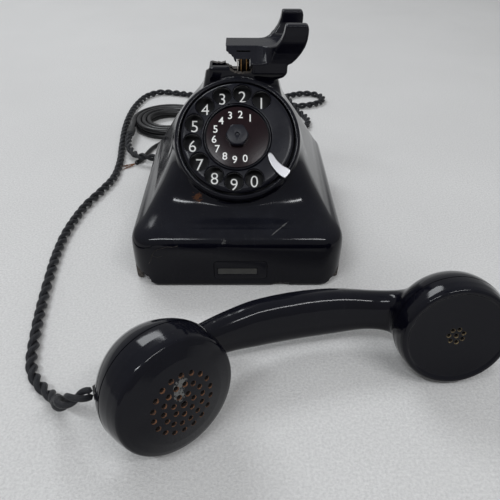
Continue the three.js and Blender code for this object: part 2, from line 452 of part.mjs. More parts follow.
const MOUTH_CUP = [[0, -46], [10, -44.8], [18.6, -41.4], [26, -35.8], [31.2, -29], [34.3, -22.6], [MOUTH.seamR, -17.6],
  [MOUTH.seamR, -MOUTH.seam - CLEAR]];
const EAR_CUP = [[0, -42], [9.4, -41.2], [18.2, -38], [25.8, -32], [31, -24.6], [33.2, -17.6], [EAR.seamR, -14],
  [EAR.seamR, -EAR.seam - CLEAR]];

function handle() {
  const mouthOut = lathe([...MOUTH_CUP, [0, -MOUTH.seam - CLEAR]], 42);
  const earOut = lathe([...EAR_CUP, [0, -EAR.seam - CLEAR]], 38);
  const mouthIn = lathe([[0, 1], [31.5, 1], [31.5, -25], [21, -36], [0, -40]], 24);
  const earIn = lathe([[0, 1], [26.4, 1], [26.4, -21], [17, -30], [0, -33]], 22);
  const spigot = (r0, r1, z0, z1) => lathe([[r0, z0], [r1, z0], [r1, z1], [r0, z1]], 30);
  const body = union(loft(gripStations()), atFace(mouthOut, MOUTH.turn, 0), atFace(earOut, EAR.turn, HANDSET.span));
  const trim = union(atFace(rod(60, -MOUTH.seam - CLEAR, 40, 48), MOUTH.turn, 0).intersect(box(-60, 60, -60, 60, -60, 60)),
    atFace(rod(50, -EAR.seam - CLEAR, 40, 48), EAR.turn, HANDSET.span).intersect(box(110, 230, -60, 60, -60, 60)));
  let s = body.subtract(trim).subtract(union(atFace(mouthIn, MOUTH.turn, 0), atFace(earIn, EAR.turn, HANDSET.span)));
  s = s.add(atFace(spigot(31.4, 32.6, -MOUTH.seam - 1, -8), MOUTH.turn, 0));
  s = s.add(atFace(spigot(26.3, 27.5, -EAR.seam - 1, -7.4), EAR.turn, HANDSET.span));
  const bore = alongX(rod(3.7, -60, -20, 16)).translate([0, GLAND.y, 0]);
  const flat = alongX(rod(5.6, -60, GLAND.seat, 18)).translate([0, GLAND.y, 0]);
  return s.subtract(union(bore, flat));
}

const GLAND = { y: 19, seat: -35.4, tip: -40.6 };
function gland() {
  const pts = [[2.2, GLAND.tip], [3.6, GLAND.tip], [4.4, GLAND.tip + 2], [4.8, GLAND.seat - CLEAR], [3.4, GLAND.seat - CLEAR],
    [3.4, GLAND.seat + 5], [2.2, GLAND.seat + 5]];
  return alongX(lathe(pts, 16)).translate([0, GLAND.y, 0]);
}

function holeRing(count, ring, r, z0, z1, phase = 0, sides = 6) {
  return [...Array(count)].map((_, i) => {
    const [x, y] = ring ? polar(ring, phase + 360 * i / count) : [0, 0];
    return rod(r, z0, z1, sides).translate([x, y, 0]);
  });
}

function mouthCap() {
  const d = MOUTH.dome, s = -MOUTH.seam;
  const skin = lathe([[0, d], [8, d - 0.25], [16, d - 1.1], [24, d - 2.8], [29.6, d - 4.4], [32, d - 5.6],
    [33.4, -2.2], [34.2, -4.2], [34.9, -8.4], [35.3, -12.6], [MOUTH.seamR, s], [33, s], [32.9, -6.6], [30.6, -3.8],
    [20, d - 4.6], [0, d - 2.9]], 42);
  const holes = [...holeRing(1, 0, 1.7, -2, 12), ...holeRing(7, 5.9, 1.25, -2, 12, 10), ...holeRing(14, 11.4, 1.25, -4, 12, 4),
    ...holeRing(18, 16.8, 1.25, -4, 12, 8)];
  return atFace(skin.subtract(union(holes)), MOUTH.turn, 0);
}

function earCap() {
  const d = -EAR.dish, s = -EAR.seam;
  const skin = lathe([[0, d], [6, d + 0.1], [13, d + 0.5], [20, d + 1.2], [25, d + 2], [28, d + 2.6], [30, 0],
    [31.2, -0.7], [32.2, -2.6], [33.1, -7], [EAR.seamR, s], [27.9, s], [27.8, -6.6], [25.4, -5.4], [12, d - 2.6],
    [0, d - 3]], 38);
  const holes = [...holeRing(1, 0, 1.2, -9, 1), ...holeRing(7, 4.4, 1.1, -9, 1, 20)];
  return atFace(skin.subtract(union(holes)), EAR.turn, HANDSET.span);
}

function capsules() {
  const mic = lathe([[0, -24.6], [22, -24.6], [30.8, -22.4], [30.8, -8.6], [29, -7.2], [20, -5], [19, -6.4], [0, -6.4]], 24);
  const rec = lathe([[0, -20.6], [18, -20.6], [25.8, -18], [25.8, -9.6], [24, -8.6], [12, -8.2], [11, -9.8], [0, -9.8]], 22);
  node('microphone_capsule', lay(atFace(mic, MOUTH.turn, 0)), 'capsule');
  node('receiver_capsule', lay(atFace(rec, EAR.turn, HANDSET.span)), 'capsule');
}

function handset() {
  HANDSET.lift = 0;
  const parts = { handset_handle: handle(), mouthpiece_cap: mouthCap(), earpiece_cap: earCap() };
  const low = Math.min(...Object.values(parts).map((m) => lay(m).boundingBox().min[2]));
  HANDSET.lift = -low;
  for (const [name, m] of Object.entries(parts)) node(name, lay(m), 'bakelite');
  node('handset_gland', lay(gland()), 'rubber');
  capsules();
}

// ---- assembly -----------------------------------------------------------------------------------
node('case_shell', caseShell(), 'bakelite');
label();
base();
dial();
movement();
node('cradle_fork', forkBody(), 'bakelite');
hookSwitch();
ringer();
circuit();
node('handset_cord_grommet', grommet(1), 'rubber');
node('line_cord_grommet', grommet(-1), 'rubber');
handset();

// ---- cords --------------------------------------------------------------------------------------
const LIE = CORD.twist + 0.15;                         // height of a cord's middle on the floor
const COIL = { x: -80, y: 210, inner: 22, outer: 45, top: 12.6 };
const HANDSET_CORD = [
  ...glandExit(), [-99.5, -200, 8], [-110, -195.5, 4.2], [-120.5, -184.5, LIE],
  [-126, -170.5, LIE], [-130.5, -149, LIE], [-135, -120, LIE], [-139, -86, LIE], [-142, -52, LIE],
  [-142, -20, LIE], [-136.5, 19, LIE], [-127, 50, LIE], [-121, 74, LIE], [-121, 107, LIE],
  [-125.5, 146, LIE], [-130.5, 195, LIE], [-131.5, 237, LIE], [-128, 274, LIE], [-119, 303, LIE],
  [-104, 316, LIE], [-80, 312, LIE], [-55, 304, LIE], [-18, 299, LIE], [16, 292, LIE], [40, 281, LIE],
  [58, 272, LIE], [76, 268, LIE], [90, 276, LIE], [101, 291, LIE], [99.5, 304, LIE], [88, 307, LIE],
  [71, 303, LIE], [59.5, 297, 4.8], [56.5, 285, 9], [60, 272, 11.8], [66, 259, 9], [72, 247, 4.8],
  [79, 233, LIE], [81.5, 218, LIE], [77, 200, LIE], [67, 180, LIE], [55, 158, LIE], [46, 136, 4.6],
  [41, 114, 10], [OUTLETS.x, 102, OUTLETS.z - 0.8],
  [OUTLETS.x, 98.5, OUTLETS.z], [OUTLETS.x, OUTLETS.end + CLEAR, OUTLETS.z]];
const LINE_CORD = [
  [-OUTLETS.x, OUTLETS.end + CLEAR, OUTLETS.z], [-OUTLETS.x, 98.5, OUTLETS.z], [-OUTLETS.x - 1.4, 103, OUTLETS.z - 1],
  [-48, 110.5, 9], [-62, 113.5, 6], [-76, 111, 6.6], [-88, 108, 9], [-97, 108.6, 9.6], [-104, 113, 9],
  [-110, 122, 8], [-115.6, 134, 8.4], [-118.4, 147, 9.2], [-119.8, 158, 9.4],
  ...[12, 0.15].map((gap) => {
    const [x, y] = polar(COIL.outer + gap, 228);
    return [COIL.x + x, COIL.y + y, 9];
  })];
const LINE_TAIL = [
  [-88, 165.4, 2.8], [-91.6, 154, 2.6], [-95, 140, 2.3], [-97.8, 127, 2.3], [-101.4, 115, 2.3], [-107, 106.4, 2.3],
  [-113.5, 101, 2.3]];

function glandExit() {
  const tip = (out) => lay(rod(0.01, 0, 0.01, 3).translate([GLAND.tip - out, GLAND.y, 0])).boundingBox().min;
  return [tip(CLEAR), tip(7)];
}

function cord(name, route, r, steps) {
  const path = new THREE.CatmullRomCurve3(route.map((p) => new THREE.Vector3(...p)), false, 'centripetal');
  const section = new THREE.Shape([...Array(8)].map((_, i) => new THREE.Vector2(...polar(r, 45 * i + 22.5))));
  let geometry = new THREE.ExtrudeGeometry(section, { steps, extrudePath: path, bevelEnabled: false });
  geometry.deleteAttribute('uv');
  geometry.deleteAttribute('normal');
  geometry = mergeVertices(geometry, 1e-4);
  geometry.translate(-ORIGIN.x, -ORIGIN.y, 0);
  geometry.computeVertexNormals();
  const item = new THREE.Mesh(geometry, MAT[name === 'line_cord_tail' ? 'sheath' : 'twist']());
  item.name = name;
  phone.add(item);
}
cord('handset_cord', HANDSET_CORD, CORD.twist, 80);
cord('line_cord', LINE_CORD, CORD.twist, 18);
cord('line_cord_tail', LINE_TAIL, CORD.core, 10);
const ring = lathe([[COIL.inner + 3, 0], [COIL.outer - 3, 0], [COIL.outer, 3], [COIL.outer, COIL.top - 4], [COIL.outer - 4, COIL.top],
  [COIL.inner + 4, COIL.top], [COIL.inner, COIL.top - 4], [COIL.inner, 3]], 24);
node('line_cord_coil', ring.translate([COIL.x, COIL.y, 0.05]), 'sheath');

export default phone;
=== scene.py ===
"""Rotary desk telephone in black bakelite, handset off the hook, on a pale cloth.

Shapes are drawn in millimetres in the telephone's own frame, origin under the middle of the case,
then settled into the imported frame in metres.
"""
import math

import bmesh
import bpy
import numpy as np
from mathutils import Matrix, Vector

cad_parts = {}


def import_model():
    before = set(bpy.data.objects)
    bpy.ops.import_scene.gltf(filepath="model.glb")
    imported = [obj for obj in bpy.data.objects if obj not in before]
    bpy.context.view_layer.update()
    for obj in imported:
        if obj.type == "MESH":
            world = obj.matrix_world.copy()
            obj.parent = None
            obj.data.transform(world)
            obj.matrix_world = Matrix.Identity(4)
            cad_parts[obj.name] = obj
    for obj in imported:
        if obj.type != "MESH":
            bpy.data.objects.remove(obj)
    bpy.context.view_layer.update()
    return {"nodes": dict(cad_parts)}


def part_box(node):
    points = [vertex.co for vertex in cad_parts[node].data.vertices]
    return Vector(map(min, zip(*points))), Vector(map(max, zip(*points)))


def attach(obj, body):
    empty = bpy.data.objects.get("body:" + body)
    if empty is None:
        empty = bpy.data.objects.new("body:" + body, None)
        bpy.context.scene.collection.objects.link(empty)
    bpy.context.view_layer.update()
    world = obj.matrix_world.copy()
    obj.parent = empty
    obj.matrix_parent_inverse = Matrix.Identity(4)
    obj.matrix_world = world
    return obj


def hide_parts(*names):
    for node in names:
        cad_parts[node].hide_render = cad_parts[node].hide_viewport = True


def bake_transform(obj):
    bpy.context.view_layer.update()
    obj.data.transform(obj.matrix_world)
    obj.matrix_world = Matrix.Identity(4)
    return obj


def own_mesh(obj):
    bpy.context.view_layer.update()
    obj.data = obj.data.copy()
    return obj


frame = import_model()
LOW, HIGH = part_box("case_shell")
MIDDLE = np.array([(LOW.x + HIGH.x) / 2, (LOW.y + HIGH.y) / 2, 0.0])
MM = 0.001
TO_FRAME = Matrix.Translation(Vector(MIDDLE)) @ Matrix.Scale(MM, 4)

# ---- driving dimensions, the same as the solid model's ----------------------------------------
BODY = {"half_w": 76.4, "half_l": 91.0, "wall": 3.6}
DIAL = {"y": -41.0, "z": 96.7, "tilt": 41.3}
WHEEL = {"r": 40.5, "thick": 2.8, "hole_r": 6.5, "hole_ring": 32.5, "first": 57.8, "step": 26.0, "seat": 24.6}
BEZEL = {"inner": WHEEL["r"] + 1.2, "outer": WHEEL["r"] + 4.7, "well": WHEEL["r"] + 2.1}
HOUSING = {"top": 4.5, "r": BEZEL["outer"] + 0.4, "ledge": 9.9, "throat": WHEEL["r"] - 2}
SLOT = {"x0": -18.6, "x1": 28, "y0": 0.5, "y1": 12.5}
NECK = {"top": 134.5, "rim": 126.0, "half_w": 28.8, "aside": 3.0, "y0": -4.0, "y1": 17.0, "back": 20.5}
FORK = {"bar": 148.3, "tip": 166.5, "under": 137.4, "mid": 11.5, "gap": 36.0, "prong": 8.0}
PLUNGER = {"x": 22.0, "y": 6.5, "collar": 98.5, "seat": 84.0, "travel": 2.5}
PLUG = {"x0": 9.4, "x1": 27.2, "bottom": 114.0}
LEAN = {"from": 96.0, "to": 112.0}
LABEL = {"x0": -17.0, "x1": 21.5, "z0": 7.0, "z1": 23.5, "floor": 1.9 - BODY["half_l"]}
OUTLET = {"x": 40.0, "z": 13.0, "bore": 4.5, "end": BODY["half_l"] + 3.6}
HANDSET = {"x": -28.0, "y": -227.7, "yaw": 16.4, "roll": -9.5, "pitch": 1.0, "span": 161.1}
MOUTH = {"turn": 21.0, "seam": 16.0, "r": 35.5, "dome": 4.8}
EAR = {"turn": -14.0, "seam": 12.0, "r": 33.6, "dish": 2.6}
GLAND = {"y": 19.0, "seat": -35.4, "tip": -40.6}
CORD = {"twist": 3.7, "strand": 1.8, "offset": 1.92, "pitch": 20.0, "round": 2.9, "tail": 2.2}
CLEAR = 0.3
COIL = {"x": -80.0, "y": 210.0, "inner": 22.0, "outer": 45.0}
CAMERA = {"at": (3.27, -413.7, 259.4), "yaw": 1.0, "pitch": 35.0, "roll": 0.54, "lens": 40.3488}


# ---- frames -----------------------------------------------------------------------------------
def turn(axis, degrees):
    """Rotation matrix about one of the three axes."""
    c, s = math.cos(math.radians(degrees)), math.sin(math.radians(degrees))
    rows = {"x": [[1, 0, 0], [0, c, -s], [0, s, c]], "y": [[c, 0, s], [0, 1, 0], [-s, 0, c]],
            "z": [[c, -s, 0], [s, c, 0], [0, 0, 1]]}
    return np.array(rows[axis])


def at(x, y, z):
    """A point of the telephone's own frame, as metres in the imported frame."""
    return tuple(MIDDLE + MM * np.array([x, y, z]))


def in_dial(v):
    """From the dial's own frame, its face in XY, to the telephone's."""
    return np.asarray(v) @ turn("x", 90 - DIAL["tilt"]).T + (0, DIAL["y"], DIAL["z"])


def facing(v, degrees, x):
    """From a cup's own frame, its face in XY, to the handset's."""
    return np.asarray(v) @ (turn("z", degrees) @ turn("x", 90)).T + (x, 0, 0)


def laid_flat(v):
    """From the handset's frame to the telephone's, before it is raised to rest on the floor."""
    spin = turn("z", HANDSET["yaw"]) @ turn("y", HANDSET["pitch"]) @ turn("x", HANDSET["roll"])
    return np.asarray(v) @ spin.T + (HANDSET["x"], HANDSET["y"], 0)


def mouth(v):
    return facing(v, MOUTH["turn"], 0)


def ear(v):
    return facing(v, EAR["turn"], HANDSET["span"])


def revolved(profile, n):
    """A profile of (radius, height) repeated at n angles round Z, as a grid of points."""
    a = 2 * math.pi * np.arange(n) / n
    r, z = np.array(profile, float).T
    return np.stack([np.outer(np.cos(a), r), np.outer(np.sin(a), r), np.tile(z, (n, 1))], -1)


def handset_lift():
    """How far the handset is raised to rest on the floor, read from its microphone capsule."""
    capsule = [[0, -24.6], [22, -24.6], [30.8, -22.4], [30.8, -8.6], [29, -7.2], [20, -5], [0, -6.4]]
    top = laid_flat(mouth(revolved(capsule, 24).reshape(-1, 3)))[:, 2].max()
    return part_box("microphone_capsule")[1].z / MM - top


LIFT = handset_lift()


def lay(v):
    """From the handset's frame to the telephone's."""
    return laid_flat(v) + (0, 0, LIFT)


# ---- curves -----------------------------------------------------------------------------------
def spline(points, spacing):
    """Centripetal Catmull-Rom through points, resampled at an even spacing."""
    p = np.array(points, float)
    p = np.vstack([2 * p[0] - p[1], p, 2 * p[-1] - p[-2]])
    line = []
    for i in range(1, len(p) - 2):
        k = [0.0]
        for j in range(3):
            k.append(k[-1] + max(np.linalg.norm(p[i + j] - p[i + j - 1]), 1e-6) ** 0.5)
        for t in np.linspace(k[1], k[2], 24, endpoint=False):
            q = p[i - 1:i + 3]
            a = [((k[j + 1] - t) * q[j] + (t - k[j]) * q[j + 1]) / (k[j + 1] - k[j]) for j in range(3)]
            b = [((k[j + 2] - t) * a[j] + (t - k[j]) * a[j + 1]) / (k[j + 2] - k[j]) for j in range(2)]
            line.append(((k[2] - t) * b[0] + (t - k[1]) * b[1]) / (k[2] - k[1]))
    line.append(p[-2])
    return resampled(np.array(line), spacing)


def run_of(line):
    """How far along the line each of its points lies."""
    return np.concatenate([[0], np.cumsum(np.linalg.norm(np.diff(line, axis=0), axis=1))])


def length_of(line):
    return float(run_of(line)[-1])


def resampled(line, spacing):
    s = run_of(line)
    at_s = np.linspace(0, s[-1], max(int(s[-1] / spacing), 4) + 1)
    return np.stack([np.interp(at_s, s, line[:, q]) for q in range(line.shape[1])], -1)


def carried_frames(line):
    """Unit normal and binormal at each point, turned as little as possible along the line."""
    t = np.gradient(line, axis=0)
    t /= np.linalg.norm(t, axis=1)[:, None]
    n = np.cross(t[0], (0.3, 0.2, 1))
    normals = []
    for d in t:
        n = n - d * (n @ d)
        n /= np.linalg.norm(n)
        normals.append(n)
    normals = np.array(normals)
    return normals, np.cross(t, normals)


def between(a, b, t):
    return a + (b - a) * t


def ramp_up(v, low, high):
    """0 below low, 1 above high, smooth between."""
    t = np.clip((v - low) / (high - low), 0, 1)
    return t * t * (3 - 2 * t)


def softened(profile, radius, keep_axis=True):
    """A closed outline with its corners rounded. Points on the axis of a turned profile stay."""
    out, p = [], np.array(profile, float)
    for i, here in enumerate(p):
        a, b = p[i - 1], p[(i + 1) % len(p)]
        la, lb = np.linalg.norm(a - here), np.linalg.norm(b - here)
        if keep_axis and here[0] < 1e-6 or min(la, lb) < 1e-6:
            out.append(here)
            continue
        r = min(radius, 0.42 * la, 0.42 * lb)
        p0, p1 = here + (a - here) * r / la, here + (b - here) * r / lb
        for t in np.linspace(0, 1, 5):
            out.append((1 - t) ** 2 * p0 + 2 * t * (1 - t) * here + t * t * p1)
    return np.array(out)


def polar(r, degrees):
    a = math.radians(degrees)
    return r * math.cos(a), r * math.sin(a)


def round_rect(z, hx, y0, y1, r, per=10, flare=0.0):
    """A ring at height z with rounded corners of per points each. flare widens it towards the back."""
    pts = []
    corners = ((hx - r, y1 - r, 0), (r - hx, y1 - r, 90), (r - hx, y0 + r, 180), (hx - r, y0 + r, 270))
    for cx, cy, a0 in corners:
        for i in range(per):
            x, y = polar(r, a0 + 90 * i / (per - 1))
            back = (cy + y - y0) / (y1 - y0)
            pts.append(((cx + x) * (1 + back * flare / hx), cy + y, z))
    return pts


# ---- solids -----------------------------------------------------------------------------------
def linked(name, data):
    obj = bpy.data.objects.new(name, data)
    bpy.context.scene.collection.objects.link(obj)
    return obj


def mesh_piece(name, verts, faces):
    mesh = bpy.data.meshes.new(name)
    mesh.from_pydata([tuple(v) for v in np.asarray(verts, float)], [], [tuple(map(int, f)) for f in faces])
    return linked(name, mesh)


def tidy(obj):
    """Welds doubled points, drops empty faces and turns the faces outwards."""
    bm = bmesh.new()
    bm.from_mesh(obj.data)
    bmesh.ops.remove_doubles(bm, verts=bm.verts, dist=1e-4)
    bmesh.ops.dissolve_degenerate(bm, dist=1e-5, edges=bm.edges)
    bmesh.ops.recalc_face_normals(bm, faces=bm.faces)
    bm.to_mesh(obj.data)
    bm.free()
    return obj


def grid_faces(rows, columns, wrap_rows=False):
    faces = []
    for k in range(rows if wrap_rows else rows - 1):
        for i in range(columns):
            a, b = k * columns + i, k * columns + (i + 1) % columns
            c, d = (k + 1) % rows * columns + i, (k + 1) % rows * columns + (i + 1) % columns
            faces.append((a, b, d, c))
    return faces


def lathe(name, profile, n=160, soft=0.0, place=None):
    """A closed profile of (radius, height) turned round Z, with its corners rounded by soft."""
    profile = softened(profile, soft) if soft else np.array(profile, float)
    grid = revolved(profile, n)
    obj = tidy(mesh_piece(name, grid.reshape(-1, 3), grid_faces(n, len(profile), wrap_rows=True)))
    return warp(obj, place) if place else obj


def loft(name, rings):
    """A skin over rings of equally many points, closed at both ends."""
    rings = np.array(rings, float)
    n, verts = rings.shape[1], list(rings.reshape(-1, 3))
    faces = grid_faces(len(rings), n)
    for ring, flip in ((0, False), (len(rings) - 1, True)):
        middle = len(verts)
        verts.append(rings[ring].mean(0))
        for i in range(n):
            a, b = ring * n + i, ring * n + (i + 1) % n
            faces.append((a, middle, b) if flip else (a, b, middle))
    return tidy(mesh_piece(name, verts, faces))


def prism(name, outline, z0, z1, place=None):
    outline = np.array(outline, float)
    n = len(outline)
    verts = [(x, y, z) for z in (z0, z1) for x, y in outline]
    faces = [tuple(range(n)), tuple(range(2 * n - 1, n - 1, -1))]
    faces += [(i, (i + 1) % n, n + (i + 1) % n, n + i) for i in range(n)]
    obj = tidy(mesh_piece(name, verts, faces))
    return warp(obj, place) if place else obj


def prism_xz(name, outline, y0, y1):
    return prism(name, outline, y0, y1, lambda v: v[:, [0, 2, 1]])


def prism_yz(name, outline, x0, x1):
    return prism(name, outline, x0, x1, lambda v: v[:, [2, 0, 1]])


def block(name, x0, x1, y0, y1, z0, z1):
    return prism(name, [(x0, y0), (x1, y0), (x1, y1), (x0, y1)], z0, z1)


def points_of(obj):
    co = np.zeros(len(obj.data.vertices) * 3)
    obj.data.vertices.foreach_get("co", co)
    return co.reshape(-1, 3)


def set_points(obj, v):
    obj.data.vertices.foreach_set("co", np.asarray(v, float).ravel())
    obj.data.update()
    return obj


def warp(obj, place):
    """Moves the piece by a function of its points, and keeps its faces outwards."""
    set_points(obj, place(points_of(obj)))
    probe = place(np.eye(4, 3))
    if np.linalg.det(probe[:3] - probe[3]) < 0:
        obj.data.flip_normals()
    return obj


def baked(obj):
    """The object with its modifiers applied."""
    graph = bpy.context.evaluated_depsgraph_get()
    mesh = bpy.data.meshes.new_from_object(obj.evaluated_get(graph))
    old, obj.data = obj.data, mesh
    obj.modifiers.clear()
    bpy.data.meshes.remove(old)
    return obj


def combined(obj, cutter, operation="DIFFERENCE", inside=None):
    """Boolean of obj with cutter. inside is the material index that the new faces take."""
    inside = 0 if inside is None and len(obj.data.materials) else inside
    if inside is not None:
        cutter.data.materials.clear()
        for m in obj.data.materials:
            cutter.data.materials.append(m)
        cutter.data.polygons.foreach_set("material_index", [inside] * len(cutter.data.polygons))
    step = obj.modifiers.new("join", "BOOLEAN")
    step.operation, step.object, step.solver = operation, cutter, "MANIFOLD"
    baked(obj)
    bpy.data.objects.remove(cutter)
    return obj


def gathered(name, parts):
    """Several meshes as one object, without joining their surfaces."""
    verts, faces, count = [], [], 0
    for o in parts:
        v = points_of(o)
        verts.append(v)
        faces += [tuple(i + count for i in p.vertices) for p in o.data.polygons]
        count += len(v)
        bpy.data.objects.remove(o)
    return mesh_piece(name, np.vstack(verts), faces)


def smoothed(obj, rounds, group=""):
    step = obj.modifiers.new("soften", "SMOOTH")
    step.factor, step.iterations, step.vertex_group = 0.5, rounds, group
    return baked(obj)


def fused(name, parts, voxel, rounds):
    """Parts melted into one skin, with soft fillets where they meet."""
    obj = gathered(name, parts)
    step = obj.modifiers.new("melt", "REMESH")
    step.mode, step.voxel_size, step.use_smooth_shade = "VOXEL", voxel, True
    return smoothed(baked(obj), rounds)


def eased(obj, weight, rounds):
    """Smooths the skin where weight, a function of its points, is above 0."""
    group = obj.vertex_groups.new(name="ease")
    for i, w in enumerate(weight(points_of(obj))):
        if w > 0.01:
            group.add([i], float(w), "REPLACE")
    smoothed(obj, rounds, group.name)
    obj.vertex_groups.clear()
    return obj


def cut_all(obj, cutters, inside=None):
    for c in cutters:
        combined(obj, c, inside=inside)
    return obj


def painted(obj, *finishes):
    obj.data.materials.clear()
    for key in finishes:
        obj.data.materials.append(FINISH[key])
    return obj


def dressed(obj, finish=None, nodes=()):
    """Millimetres to metres, smooth shading, material, slot, and the CAD nodes that the piece stands for."""
    obj.data.transform(TO_FRAME)
    obj.data.shade_smooth()
    if finish:
        painted(obj, finish)
    if nodes:
        obj.name = nodes[0] + "_look"
        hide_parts(*nodes)
    return obj


def settle(obj, body, nodes=(), finish=None, sharp=32):
    """A dressed piece with sharp edges kept, on the body that it moves with."""
    dressed(tidy(obj), finish, nodes)
    obj.data.set_sharp_from_angle(angle=math.radians(sharp))
    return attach(obj, body)


# ---- materials --------------------------------------------------------------------------------
class Finish:
    """A material's node tree, with short calls for the nodes used here. Textures run in object metres."""

    def __init__(self, name, color, roughness, **sockets):
        self.material = bpy.data.materials.new(name)
        self.material.use_nodes = True
        self.tree = self.material.node_tree
        self.bsdf = self.tree.nodes["Principled BSDF"]
        self.coord = self.tree.nodes.new("ShaderNodeTexCoord")
        self.bsdf.inputs["Base Color"].default_value = (*color, 1)
        self.bsdf.inputs["Roughness"].default_value = roughness
        for key, value in sockets.items():
            self.bsdf.inputs[key.replace("_", " ")].default_value = value

    def feed(self, socket, value):
        if isinstance(value, bpy.types.NodeSocket):
            self.tree.links.new(value, socket)
        elif hasattr(value, "__len__") and len(value) == 3 and len(socket.default_value) == 4:
            socket.default_value = (*value, 1)
        else:
            socket.default_value = value

    def add(self, kind, inputs, **settings):
        n = self.tree.nodes.new("ShaderNode" + kind)
        for key, value in settings.items():
            setattr(n, key, value)
        for key, value in inputs.items():
            self.feed(n.inputs[key], value)
        return n

    def stretched(self, scale, rotation=(0, 0, 0)):
        inputs = {"Vector": self.coord.outputs["Object"], "Scale": scale, "Rotation": rotation}
        return self.add("Mapping", inputs).outputs[0]

    def noise(self, scale, detail=4.0, rough=0.55, vector=None, distortion=0.0):
        inputs = {"Vector": vector or self.coord.outputs["Object"], "Scale": scale, "Detail": detail}
        return self.add("TexNoise", inputs | {"Roughness": rough, "Distortion": distortion}).outputs[0]

    def grain(self, scale, detail=4.0, rough=0.55, stretch=None):
        return self.noise(scale, detail, rough, self.stretched(stretch) if stretch else None)

    def ramp(self, value, low, high, a=0.0, b=1.0):
        """a below low, b above high, smooth between."""
        inputs = {"Value": value, "From Min": low, "From Max": high, "To Min": a, "To Max": b}
        return self.add("MapRange", inputs, interpolation_type="SMOOTHSTEP").outputs[0]

    def math(self, operation, a, b=0.0, clamp=False):
        n = self.add("Math", {0: a, 1: b}, operation=operation)
        n.use_clamp = clamp
        return n.outputs[0]

    def mix(self, amount, a, b):
        return self.add("Mix", {0: amount, 6: a, 7: b}, data_type="RGBA").outputs[2]

    def facing(self, axis):
        """How much the surface faces along one of its own axes, from -1 to 1."""
        return self.add("SeparateXYZ", {0: self.coord.outputs["Normal"]}).outputs[axis]

    def color(self, value):
        self.feed(self.bsdf.inputs["Base Color"], value)

    def rough(self, value):
        self.feed(self.bsdf.inputs["Roughness"], value)

    def bump(self, height, distance):
        """Adds a bump on top of the ones already there. distance is in metres."""
        socket = self.bsdf.inputs["Normal"]
        n = self.add("Bump", {"Height": height, "Distance": distance, "Strength": 1.0})
        if socket.is_linked:
            self.tree.links.new(socket.links[0].from_socket, n.inputs["Normal"])
        self.tree.links.new(n.outputs[0], socket)


def scratches(f):
    """Thin, mostly parallel marks in patches, 1 on a mark and 0 off it."""
    line = f.noise(420.0, 2.0, 0.5, f.stretched((1.0, 0.035, 0.035), (0.3, 0.5, 0.9)), 0.35)
    ridge = f.math("ABSOLUTE", f.math("SUBTRACT", line, 0.5))
    patch = f.ramp(f.noise(28.0, 2.0), 0.52, 0.68)
    return f.math("MULTIPLY", f.ramp(ridge, 0.0, 0.006, 1.0, 0.0), patch)


def stain(f, colour, ends, size, paint, ragged):
    """Paints where the way by both ends is at most size mm longer than straight: a spot or a thin streak."""
    here = f.coord.outputs["Object"]
    reach = [f.add("VectorMath", {0: here, 1: at(*end)}, operation="DISTANCE") for end in ends]
    way = f.math("ADD", reach[0].outputs["Value"], reach[1].outputs["Value"])
    spare = f.math("MULTIPLY", f.math("SUBTRACT", way, math.dist(*ends) * MM), 1 / (size * MM))
    edge = f.math("ADD", spare, f.ramp(f.noise(ragged, 5.0, 0.7), 0.35, 0.65, -0.5, 0.9))
    return f.mix(f.ramp(edge, 0.5, 1.0, 1.0, 0.0), colour, paint)


def bakelite(name, dust=1.0, gloss=0.06, tone=1.0, stains=()):
    """Black bakelite under a film of haze, with grit where it faces up and a few scratches."""
    base = tuple(tone * v for v in (0.0017, 0.0017, 0.0043))
    f = Finish(name, base, gloss, IOR=1.31)
    up = f.ramp(f.facing(2), 0.1, 0.95)
    patches = f.ramp(f.noise(38.0, 6.0, 0.62), 0.4, 0.75)
    specks = f.ramp(f.noise(1500.0, 2.0), 0.68, 0.75)
    film = f.math("MULTIPLY", f.math("ADD", f.math("MULTIPLY", patches, 0.3), 0.3), up)
    haze = f.math("MULTIPLY", film, 0.06 * dust)
    grit = f.math("MULTIPLY", f.math("MULTIPLY", specks, up), 0.4 * dust)
    marks = scratches(f)
    colour = f.mix(haze, base, (0.22, 0.24, 0.31))
    colour = f.mix(f.math("MULTIPLY", grit, 0.25), colour, (0.36, 0.36, 0.35))
    colour = f.mix(f.math("MULTIPLY", marks, 0.05), colour, (0.20, 0.20, 0.21))
    for mark in stains:
        colour = stain(f, colour, *mark)
    f.color(colour)
    smudge = f.ramp(f.noise(60.0, 5.0, 0.6), 0.35, 0.75, gloss, gloss + 0.06)
    f.rough(f.math("ADD", smudge, f.math("MULTIPLY", haze, 1.6), clamp=True))
    f.bump(f.noise(190.0, 3.0), 0.00003)
    f.bump(marks, -0.000004)
    return f.material


def layered(name, color, roughness, layers, rough=None, bumps=(), **sockets):
    """A colour under layers of (noise, low, high, amount, colour). Roughness and bumps come from noises too.

    A noise is (scale, detail, roughness, stretch), where all but the scale may be left out.
    """
    f = Finish(name, color, roughness, **sockets)
    for noise, low, high, amount, paint in layers:
        color = f.mix(f.ramp(f.grain(*noise), low, high, 0.0, amount), color, paint)
    f.color(color)
    if rough:
        noise, *span = rough
        f.rough(f.ramp(f.grain(*noise), *span))
    for noise, distance in bumps:
        f.bump(f.grain(*noise), distance)
    return f.material


def rusted(name, deep, pale):
    grain = (900.0, 6.0, 0.7)
    return layered(name, deep, 0.85, [(grain, 0.38, 0.68, 1.0, pale)], bumps=[(grain, 0.00025)])


def varnished(name, color, accent, scale, stretch):
    grain = (scale, 4.0, 0.6, stretch)
    return layered(name, color, 0.45, [(grain, 0.35, 0.7, 1.0, accent)], bumps=[(grain, 0.0001)])


def broken_bakelite():
    grain = (700.0, 6.0, 0.7)
    pale = (grain, 0.35, 0.7, 1.0, (0.115, 0.098, 0.085))
    return layered("broken_bakelite", (0.022, 0.019, 0.018), 0.6, [pale],
                   bumps=[(grain, 0.0005), ((2600.0, 2.0), 0.0001)])


